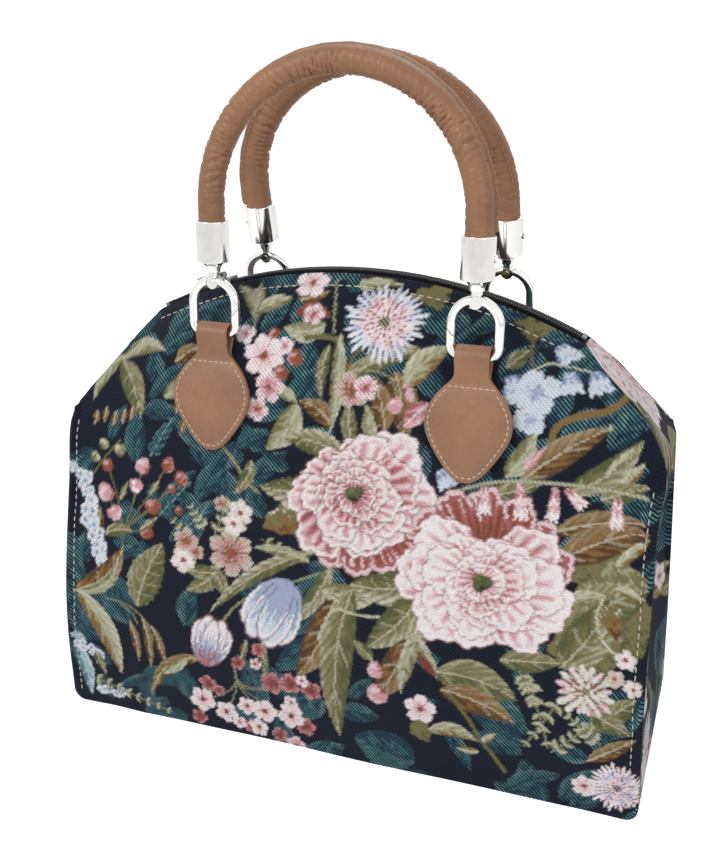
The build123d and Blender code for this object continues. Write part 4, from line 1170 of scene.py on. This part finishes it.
left_reaches = (1.05, 1.05, 0.9, 0.72, 0.64, 0.62, 0.74, 0.95, 1.02, 0.88, 0.82, 0.86)
right_reaches = (1.05, 0.9, 0.56, 0.52, 0.66, 1.02, 1.02, 0.9, 0.86, 0.84, 0.86, 0.96)
peonies = [
    stalk(3, SAGE, CREAM, (426, 516), (452, 492), (500, 480), (560, 484), (600, 488), (648, 500)),
    (back_petals, (356, 496), 78, dict(first=250, last=345, count=5, seed=3.0)),
    (peony, (354, 494), 74, dict(seed=0.7, light=0.03, reaches=left_reaches)),
    (back_petals, (484, 580), 84, {}),
    (peony, (482, 583), 82, dict(seed=1.9, light=-0.05, tones=PALE_PINKS, reaches=right_reaches)),
    hanging(486, 488, 484, 514, 6.5, PALE_PINKS), hanging(520, 484, 521, 520, 7, PALE_PINKS),
    hanging(556, 488, 552, 522, 6.5, PALE_PINKS), hanging(566, 490, 584, 508, 6.5, PALE_PINKS),
    hanging(618, 498, 616, 530, 7, PALE_PINKS),
]
print(len(peonies), "in peonies")

# %% [markdown]
# The cloth's repeat is higher than the front, and its corners are cut off the front. Two groups grow
# there again and a band of blossom fills the rest; they show on the back, the ends and the base.
# Every motif but a stem gets a seed of its own, so no two leaves have the same streaks.

# %% Sowing the motifs
everything = (
    far_leaves, top_left_foliage, left_tab_blossom, left_peony_leaves, berries, left_florets, mixed_flowers,
    tulip_group, under_left_peony, low_blossom, bottom_left, top_and_right, right_greens, low_right, peonies)
repeated = [(low_blossom, (212, 246)), (mixed_flowers, (-90, 165))]

def cloth_place(value, moved):
    if isinstance(value, tuple) and isinstance(value[0], tuple):
        return [cloth_place(p, moved) for p in value]
    if isinstance(value, tuple):
        u, v = on_cloth(value)
        return u + moved[0], v + moved[1]
    return value * cloth_per_pixel

planting = []
for group, moved in [(group, (0, 0)) for group in everything] + repeated:
    for motif, *values, words in group:
        if motif is not stem:
            words = {"seed": 0.7 * len(planting), **words}
        planting.append((motif, [cloth_place(value, moved) for value in values], words))
print(len(planting), "motifs from the lists")

# %% The band of blossom
band_low, band_high, band_count = 289, 316, 42

def band_place(k, share, seed):
    return tile_width * (k + share) / band_count, band_low + (band_high - band_low) * chance(k, seed)

for k in range(band_count):
    place = band_place(k, 0.6 * chance(k, 5.3), 6.1)
    turn, length = 0.9 * (chance(k, 7.7) - 0.5) + pi * (k % 2), 17 + 9 * chance(k, 8.3)
    words = dict(bend=0.08, tones=(GREENS, BROWNS, PALES, GREENS)[k % 4], veins=4, seed=k)
    planting.append((leaf, [place, toward(place, turn, length), length * 0.24], words))
for k in range(0, band_count, 3):
    words = dict(tones=(PALE_PINKS, WHITES, RUSSETS, PINKS)[(k // 3) % 4], seed=k, heart=WINE)
    planting.append((rosette, [band_place(k, 0.8, 9.1), 7 + 5 * chance(k, 4.4)], words))
print(len(planting), "motifs")

# %% [markdown]
# A cloth is painted in its own millimetres: small striped leaves first, as a dark ground, and then
# every motif in its order. The colours of the yarns become colour attributes of the mesh.

# %% Painting a cloth
ground_leaves = 150

def paint(u, v, shift=(0.0, 0.0)):
    cloth = Cloth(u, v, shift)
    for k in range(ground_leaves):
        place = (tile_width * chance(k, 0.3), tile_height * chance(k, 0.7))
        turn, length = 2 * pi * chance(k, 1.1), 16 + 16 * chance(k, 1.9)
        leaf(cloth, place, toward(place, turn, length), length * 0.26, 0.06, TEALS, 4, hatch=0.55, seed=k)
    for motif, values, words in planting:
        motif(cloth, *values, **words)
    return cloth

def weave_on(piece, cloth, chosen):
    mesh = piece.data
    order = np.concatenate((np.arange(len(cloth.u)), chosen))
    for name, colours in (("thread_face", cloth.face), ("thread_under", cloth.under)):
        layer = mesh.attributes.new(name, "FLOAT_COLOR", "POINT")
        layer.data.foreach_set("color", np.c_[colours, np.ones(len(colours))][order].ravel())
    mesh.attributes.new("thread_share", "FLOAT", "POINT").data.foreach_set("value", cloth.share[order])
    mesh.materials.append(tapestry)

print("a ground of", ground_leaves, "leaves")

def panel_piece(name, node_name, grid, side, shift):
    normals = np.broadcast_to((0.0, side, 0.0), grid.shape)
    lengths = lengths_up(grid)
    piece, chosen = closed_sheet(name, grid, normals, np.stack([grid[..., 0], lengths], axis=-1))
    weave_on(piece, paint(-side * grid[..., 0].ravel() / MM, lengths.ravel() / MM, shift), chosen)
    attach(piece, "bag")
    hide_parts(node_name)

back_shift, gusset_shift = (118, 96), (60, -105)
panel_piece("front_cloth", "front_panel", front_grid, -1, (0, 0))
panel_piece("back_cloth", "back_panel", back_grid, 1, back_shift)

# %% Gusset cloth
gusset_thickness = 1.8 * MM

def gusset_piece():
    high, wide = gusset_grid.shape[:2]
    normals = unit(np.cross(np.gradient(gusset_grid, axis=0), np.gradient(gusset_grid, axis=1)))
    out3 = np.stack([outward[:, 0], np.zeros(high), outward[:, 1]], axis=1)[:, None]
    normals *= np.sign(np.sum(normals * out3, axis=2).mean())
    u, v = gusset_grid[..., 1], np.repeat(strip_steps[:, None], wide, axis=1)
    uv = np.stack([u, v], axis=-1)
    piece, chosen = closed_sheet("gusset_cloth", gusset_grid, normals, uv, gusset_thickness)
    half_base = float(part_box("front_panel")[1].x)
    weave_on(piece, paint(u.ravel() / MM, (np.abs(v) - half_base).ravel() / MM, gusset_shift), chosen)
    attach(piece, "bag")
    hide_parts("gusset")
    print("gusset cloth", len(piece.data.polygons), "faces")

gusset_piece()

# %% [markdown]
# ## Stitches
# One stitch is a short grain of thread: a small sphere drawn out long, of a few dozen faces. It is
# modelled once, and a run of stitches sets copies of it along a line on the cloth or leather, each
# turned to lie on its surface.

# %% Small shapes and their copies
def resize_in_edit(size):
    bpy.ops.object.mode_set(mode="EDIT")
    bpy.ops.mesh.select_all(action="SELECT")
    bpy.ops.transform.resize(value=size)

def taken_shape():
    bpy.ops.object.mode_set(mode="OBJECT")
    piece = bpy.context.object
    points = np.array([v.co[:] for v in piece.data.vertices])
    faces = [tuple(p.vertices) for p in piece.data.polygons]
    bpy.data.objects.remove(piece)
    return points, faces

def grain_of_thread(length, width, height):
    deselect_all()
    bpy.ops.mesh.primitive_uv_sphere_add(segments=8, ring_count=5, radius=0.5, location=(0, 0, 0))
    resize_in_edit((width, height, length))
    return taken_shape()

def copies(name, shape, places, body, material):
    points, faces = shape
    vertices, polygons = [], []
    for centre, direction, normal in places:
        z = unit(np.array(direction))
        y = unit(np.array(normal) - z * np.dot(normal, z))
        start = len(vertices) * len(points)
        vertices.append(points @ np.array((np.cross(y, z), y, z)) + np.array(centre))
        polygons += [tuple(start + i for i in face) for face in faces]
    piece = new_piece(name, np.concatenate(vertices).tolist(), polygons)
    piece.data.polygons.foreach_set("use_smooth", [True] * len(polygons))
    piece.data.materials.append(material)
    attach(piece, body)
    return piece

cloth_stitch = grain_of_thread(3.2 * MM, 0.75 * MM, 0.6 * MM)
print("a stitch has", len(cloth_stitch[1]), "faces")

# %% A run of stitches
def run_of_stitches(points, normals, pitch):
    steps = steps_along(points)
    at = np.arange(pitch / 2, steps[-1], pitch)
    ahead = [read_at(at + d, steps, points) for d in (-0.5 * MM, 0, 0.5 * MM)]
    lean = read_at(at, steps, normals)
    return [(middle, end - start, normal) for start, middle, end, normal in zip(*ahead, lean)]

def inset(line, amount, core):
    return line - square_to(line, core) * amount

def evened(row, reach=6):
    padded = np.concatenate((np.repeat(row[:1], reach, axis=0), row, np.repeat(row[-1:], reach, axis=0)))
    return sum(padded[i:i + len(row)] for i in range(2 * reach + 1)) / (2 * reach + 1)

print("runs of stitches are ready")

# %% Stitches on the panels
cloth_stitch_pitch, stitch_lift = 4.4 * MM, 0.2 * MM
flat_tree = nearest_tree([(x, z, 0) for x, z in flat_points])
stitch_rows = [inset(walk(dome_part, 400), top_stitch_place, bag_core)]
stitch_rows += [inset(line[6:-3], groove_place, bag_core) for line in (right_line, left_line)]
for name, grid, side in (("front", front_grid, -1), ("back", back_grid, 1)):
    normals = grid_normals(grid, (0, side, 0)).reshape(-1, 3)
    surface = grid.reshape(-1, 3)
    stitches = []
    for row in stitch_rows:
        index = [flat_tree.find((x, z, 0))[1] for x, z in row]
        lifted = evened(surface[index] + normals[index] * stitch_lift)
        stitches += run_of_stitches(lifted, evened(normals[index]), cloth_stitch_pitch)
    copies(f"{name}_topstitch", cloth_stitch, stitches, "bag", cream_thread)
print(len(stitches), "stitches on each panel")

# %% [markdown]
# ## Zip
# The two tapes are narrow woven bands along the dome. A coil zip's teeth are the turns of two
# plastic coils: one small rounded block, repeated along each tape, half a step apart.

# %% Tapes
dome_middle = joints["zip_slide"]["pos_m"][2]
tape_thickness, tape_sink = 0.6 * MM, 0.15 * MM

def dome_point(angle, radius, y):
    return np.array((radius * sin(angle), y, dome_middle + radius * cos(angle)))

def dome_place(node_name):
    low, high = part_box(node_name)
    return low, high, high.z - dome_middle, atan2(high.x, low.z - dome_middle)

def tape_piece(name, node_name, steps=190, across_count=9):
    low, high, top_radius, end = dome_place(node_name)
    angles = np.linspace(-end, end, steps) * 0.998
    grid = np.empty((steps, across_count, 3))
    for i, angle in enumerate(angles):
        for j, y in enumerate(np.linspace(low.y, high.y, across_count)):
            wave = 0.12 * MM * sin(angle * 90 + y * 300) * (0 < j < across_count - 1)
            grid[i, j] = dome_point(angle, top_radius - tape_sink + wave, y)
    normals = grid - np.array((0, 0, dome_middle))
    normals[..., 1] = 0
    uv = np.stack([grid[..., 1], np.repeat((angles * top_radius)[:, None], across_count, axis=1)], axis=-1)
    piece, _ = closed_sheet(name, grid, unit(normals), uv, tape_thickness - tape_sink)
    piece.data.materials.append(finishes["zip_tape"])
    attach(piece, "bag")
    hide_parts(node_name)

for end_name in ("front", "back"):
    tape_piece(f"{end_name}_zip_tape", f"zip_tape_{end_name}")
print("two tapes")

# %% Coil turns
coil_pitch, turn_length, turn_edge, tape_gap = 1.3 * MM, 0.85 * MM, 0.25 * MM, 0.1 * MM

def rounded_block(length, width, height, edge):
    deselect_all()
    bpy.ops.mesh.primitive_cube_add(size=1, location=(0, 0, 0))
    resize_in_edit((width, height, length))
    bpy.ops.mesh.bevel(offset=edge, segments=2, affect="EDGES")
    return taken_shape()

for number, end_name in enumerate(("front", "back")):
    low, high, top_radius, end = dome_place(f"zip_coil_{end_name}")
    bottom_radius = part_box(f"zip_tape_{end_name}")[1].z - dome_middle + tape_gap
    height, middle_y = top_radius - bottom_radius, (low.y + high.y) / 2
    block = rounded_block(turn_length, high.y - low.y, height, turn_edge)
    count = int(2 * end * top_radius / coil_pitch)
    angles = [-end + (i + 0.4 + 0.25 * number) * 2 * end / count for i in range(count)]
    middle_radius = bottom_radius + height / 2
    places = [(dome_point(a, middle_radius, middle_y), (cos(a), 0, -sin(a)), (sin(a), 0, cos(a)))
              for a in angles]
    teeth = copies(f"{end_name}_zip_teeth", block, places, "bag", finishes["zip_coil"])
    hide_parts(f"zip_coil_{end_name}")
print(count, "turns on each tape")

# %% [markdown]
# ## Rolled handles
# Each handle is leather wrapped round a rope and sewn shut along a flange. Bent over the top, the
# leather has too much length on the inside of the bend and gathers into rings of small folds. So the
# tube is drawn ring by ring along the handle's line, with folds that grow where the bend squeezes.

# %% The handle's line
arch_radius, arch_rise = abs(tab_x), 66.8 * MM
handle_radius, core_room, ring_points = 6.9 * MM, 5.35 * MM, 60
seam_angle, seam_height, seam_half_width = radians(-35), 2.4 * MM, 1.15 * MM
tube_start, seam_start = 40.8 * MM, 58.8 * MM
leans = {"front": (1, radians(4.0)), "back": (-1, radians(11.8))}
fold_seeds = {"front": 1.0, "back": 2.6}

def handle_frame(end_name):
    sign, lean = leans[end_name]
    hinge = Vector(joints[f"{end_name}_handle_swing"]["pos_m"])
    across_way = Vector((sign, 0, 0))
    up_way = Vector((0, sign * sin(lean), cos(lean)))
    return hinge, across_way, up_way, across_way.cross(up_way)

def handle_line(step, start):
    leg = arch_rise - start
    total = 2 * leg + pi * arch_radius
    line = []
    for s in np.linspace(0, total, int(total / step)):
        if s < leg:
            line.append((s, -arch_radius, start + s, -1.0, 0.0))
        elif s > total - leg:
            line.append((s, arch_radius, start + total - s, 1.0, 0.0))
        else:
            a = (s - leg) / arch_radius
            line.append((s, -arch_radius * cos(a), arch_rise + arch_radius * sin(a), -cos(a), sin(a)))
    return line, total

print("a handle's line is", round(handle_line(MM, tube_start)[1] / MM), "mm long")

# %% [markdown]
# A handle's skin is a loop of points for each step along the line. Every point has an angle round the
# tube: the folds are deepest on the inside of the bend, and the flange stands up at the seam's angle.

# %% The gathered skin
fold_depth, hidden_end = 1.9 * MM, 17 * MM

def eased(value, length):
    return min(max(value / length, 0), 1)

def folds(s, theta, seed):
    wander = 1.9 * np.sin(s * 0.19 + seed) + 0.9 * np.sin(theta * 2 + s * 0.11 + seed)
    fine = np.abs(np.sin(s * 0.95 + wander + 0.7 * np.cos(theta + 0.4 * seed)))
    broad = np.abs(np.sin(s * 0.33 + 1.3 * np.sin(theta + seed) + 1.4 * np.sin(s * 0.06 + seed)))
    uneven = 0.6 + 0.4 * np.sin(s * 0.083 + 2.0 * seed + theta)
    return uneven * (0.75 * (1 - fine) ** 2 + 0.6 * (1 - broad) ** 3)

def skin_points(end_name):
    hinge, across_way, up_way, away_way = handle_frame(end_name)
    line, total = handle_line(0.7 * MM, tube_start)
    seed = fold_seeds[end_name]
    outer, inner = [], []
    for s, a, b, out_a, out_b in line:
        middle = hinge + across_way * a + up_way * b
        out = across_way * out_a + up_way * out_b
        from_end = min(s, total - s)
        on_arch = eased(3 * (b - arch_rise), arch_radius)
        seam_share = eased(from_end - (seam_start - tube_start), 1.2 * MM)
        shown = eased(from_end - hidden_end, 3 * MM)
        for k in range(ring_points):
            theta = 2 * pi * k / ring_points
            squeeze = 0.35 + 0.65 * on_arch * (0.55 - 0.45 * cos(theta))
            depth = fold_depth * squeeze * shown * folds(s / MM, theta, seed)
            gap = abs((theta - seam_angle + pi) % (2 * pi) - pi) * handle_radius
            flange = seam_share * seam_height * eased(seam_half_width * 1.5 - gap, seam_half_width * 0.5)
            ruffle = 1 + 0.05 * sin(s / MM * 0.5 + seed)
            radius = handle_radius - depth * (1 - flange / seam_height) + flange * ruffle
            direction = out * cos(theta) + away_way * sin(theta)
            outer.append(middle + direction * radius)
            inner.append(middle + direction * core_room)
    return outer, inner

print("folds up to", round(fold_depth / MM, 1), "mm deep")

# %% The handle's leather
handle_crease = 60

def handle_piece(end_name):
    outer, inner = skin_points(end_name)
    count, faces = len(outer) // ring_points, []
    shift = len(outer)
    for i in range(count - 1):
        for k in range(ring_points):
            a, b = i * ring_points + k, i * ring_points + (k + 1) % ring_points
            faces.append((a, a + ring_points, b + ring_points, b))
            faces.append((shift + a, shift + b, shift + b + ring_points, shift + a + ring_points))
    for k in range(ring_points):
        a, b, last = k, (k + 1) % ring_points, (count - 1) * ring_points
        faces.append((a, b, shift + b, shift + a))
        faces.append((last + b, last + a, shift + last + a, shift + last + b))
    piece = new_piece(f"{end_name}_handle_leather", outer + inner, faces)
    faced_and_smoothed(piece, handle_crease)
    piece.data.materials.append(finishes["handle_leather"])
    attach(piece, f"{end_name}_handle")
    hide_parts(f"handle_leather_{end_name}")
    print(piece.name, len(faces), "faces")

seam_stitch, seam_stitch_pitch = grain_of_thread(2.4 * MM, 0.6 * MM, 0.6 * MM), 3.4 * MM

def handle_stitches(end_name):
    hinge, across_way, up_way, away_way = handle_frame(end_name)
    line, _ = handle_line(0.5 * MM, seam_start + 2 * MM)
    places = []
    for side in (-1, 1):
        points, leans_out = [], []
        for _, a, b, out_a, out_b in line:
            out = across_way * out_a + up_way * out_b
            root = out * cos(seam_angle) + away_way * sin(seam_angle)
            beside = (away_way * cos(seam_angle) - out * sin(seam_angle)) * side
            middle = hinge + across_way * a + up_way * b
            points.append(middle + root * (handle_radius + 1.25 * MM) + beside * (seam_half_width + 0.3 * MM))
            leans_out.append(beside)
        places += run_of_stitches(np.array(points), np.array(leans_out), seam_stitch_pitch)
    name = f"{end_name}_handle_stitches"
    copies(name, seam_stitch, places, f"{end_name}_handle", tan_thread)
    print(len(places), "stitches beside the seam")

for end_name in ("front", "back"):
    handle_piece(end_name)
    handle_stitches(end_name)

# %% [markdown]
# ## Leather tabs
# A tab is one strap folded over the ring and sewn down to the cloth. Its packed form is right, but cut
# leather has rounded, slightly uneven edges. A merged copy is remeshed in small voxels and smoothed,
# which rounds every edge, and the second layer shows as a fine line round the rim.

# %% Softened leather
def softened(name, node_name, voxel):
    piece = bpy.data.objects.new(name, frame["nodes"][node_name].data.copy())
    bpy.context.collection.objects.link(piece)
    pick(piece)
    bpy.ops.object.mode_set(mode="EDIT")
    bpy.ops.mesh.select_all(action="SELECT")
    bpy.ops.mesh.remove_doubles(threshold=0.01 * MM)
    bpy.ops.object.mode_set(mode="OBJECT")
    remesh = piece.modifiers.new("rounding", "REMESH")
    remesh.mode, remesh.voxel_size = "VOXEL", voxel
    bpy.ops.object.modifier_apply(modifier=remesh.name)
    smooth = piece.modifiers.new("softening", "SMOOTH")
    smooth.iterations, smooth.factor = 3, 0.5
    bpy.ops.object.modifier_apply(modifier=smooth.name)
    bpy.ops.object.shade_smooth()
    piece.data.materials.clear()
    piece.data.materials.append(finishes["tab_leather"])
    return piece

print("leather can be softened")

# %% [markdown]
# A row of stitches follows the tab's rim. Rays from both sides find the rim at each height, the line
# is moved inwards, and rays from the front put every stitch on the leather. A short row closes the
# top, below the ring.

# %% A tab's rim
tab_tilt, tab_probe, side_probe = 0.2437, 0.02, 0.04
tab_core = np.array((0, 0.032))
rim_first, rim_last, rim_count = 15.5 * MM, 62.5 * MM, 48

def tab_frame(end_name, hand_name):
    place = Vector(joints[f"{end_name}_{hand_name}_ring_swivel"]["pos_m"])
    sign = leans[end_name][0]
    normal = Vector((0, -sign * cos(tab_tilt), sin(tab_tilt)))
    down = Vector((0, -sign * sin(tab_tilt), -cos(tab_tilt)))
    return place, normal, down

def tab_rim(tree, origin, normal, down):
    rim = {-1: [], 1: []}
    for fall in np.linspace(rim_first / MM, rim_last / MM, rim_count) * MM:
        middle = tree.ray_cast(origin + down * fall + normal * tab_probe, -normal)[0]
        for side in (-1, 1):
            start = middle - normal * 0.8 * MM + Vector((side * side_probe, 0, 0))
            hit = tree.ray_cast(start, Vector((-side, 0, 0)))[0]
            rim[side].append((hit.x - origin.x, fall))
    return inset(np.array(rim[-1] + rim[1][::-1]), stitch_edge, tab_core)

def on_tab(tree, origin, normal, down, row):
    surface = []
    for a, fall in row:
        hit = tree.ray_cast(origin + Vector((a, 0, 0)) + down * fall + normal * tab_probe, -normal)[0]
        surface.append(hit[:] if hit else surface[-1])
    return np.array(surface) + np.array(normal) * 0.05 * MM

stitch_edge, tab_stitch_pitch, tab_voxel = 2.1 * MM, 3.1 * MM, 0.62 * MM
tab_stitch = grain_of_thread(2.3 * MM, 0.62 * MM, 0.5 * MM)
print("the rim is read at", rim_count, "heights")

# %% Four tabs
for end_name in ("front", "back"):
    for hand_name in ("left", "right"):
        tag = f"{end_name}_{hand_name}"
        piece = softened(f"{tag}_tab_leather", f"tab_{tag}", tab_voxel)
        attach(piece, "bag")
        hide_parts(f"tab_{tag}")
        tree = tree_of(f"tab_{tag}")
        origin, normal, down = tab_frame(end_name, hand_name)
        rim = tab_rim(tree, origin, normal, down)
        top_end = [(a, rim_first) for a in np.linspace(rim[0][0], rim[-1][0], 30)]
        places = []
        for row in (rim, top_end):
            surface = on_tab(tree, origin, normal, down, row)
            places += run_of_stitches(surface, np.tile(normal, (len(surface), 1)), tab_stitch_pitch)
        copies(f"{tag}_tab_stitches", tab_stitch, places, "bag", cream_thread)
print("four tabs,", len(places), "stitches on each")
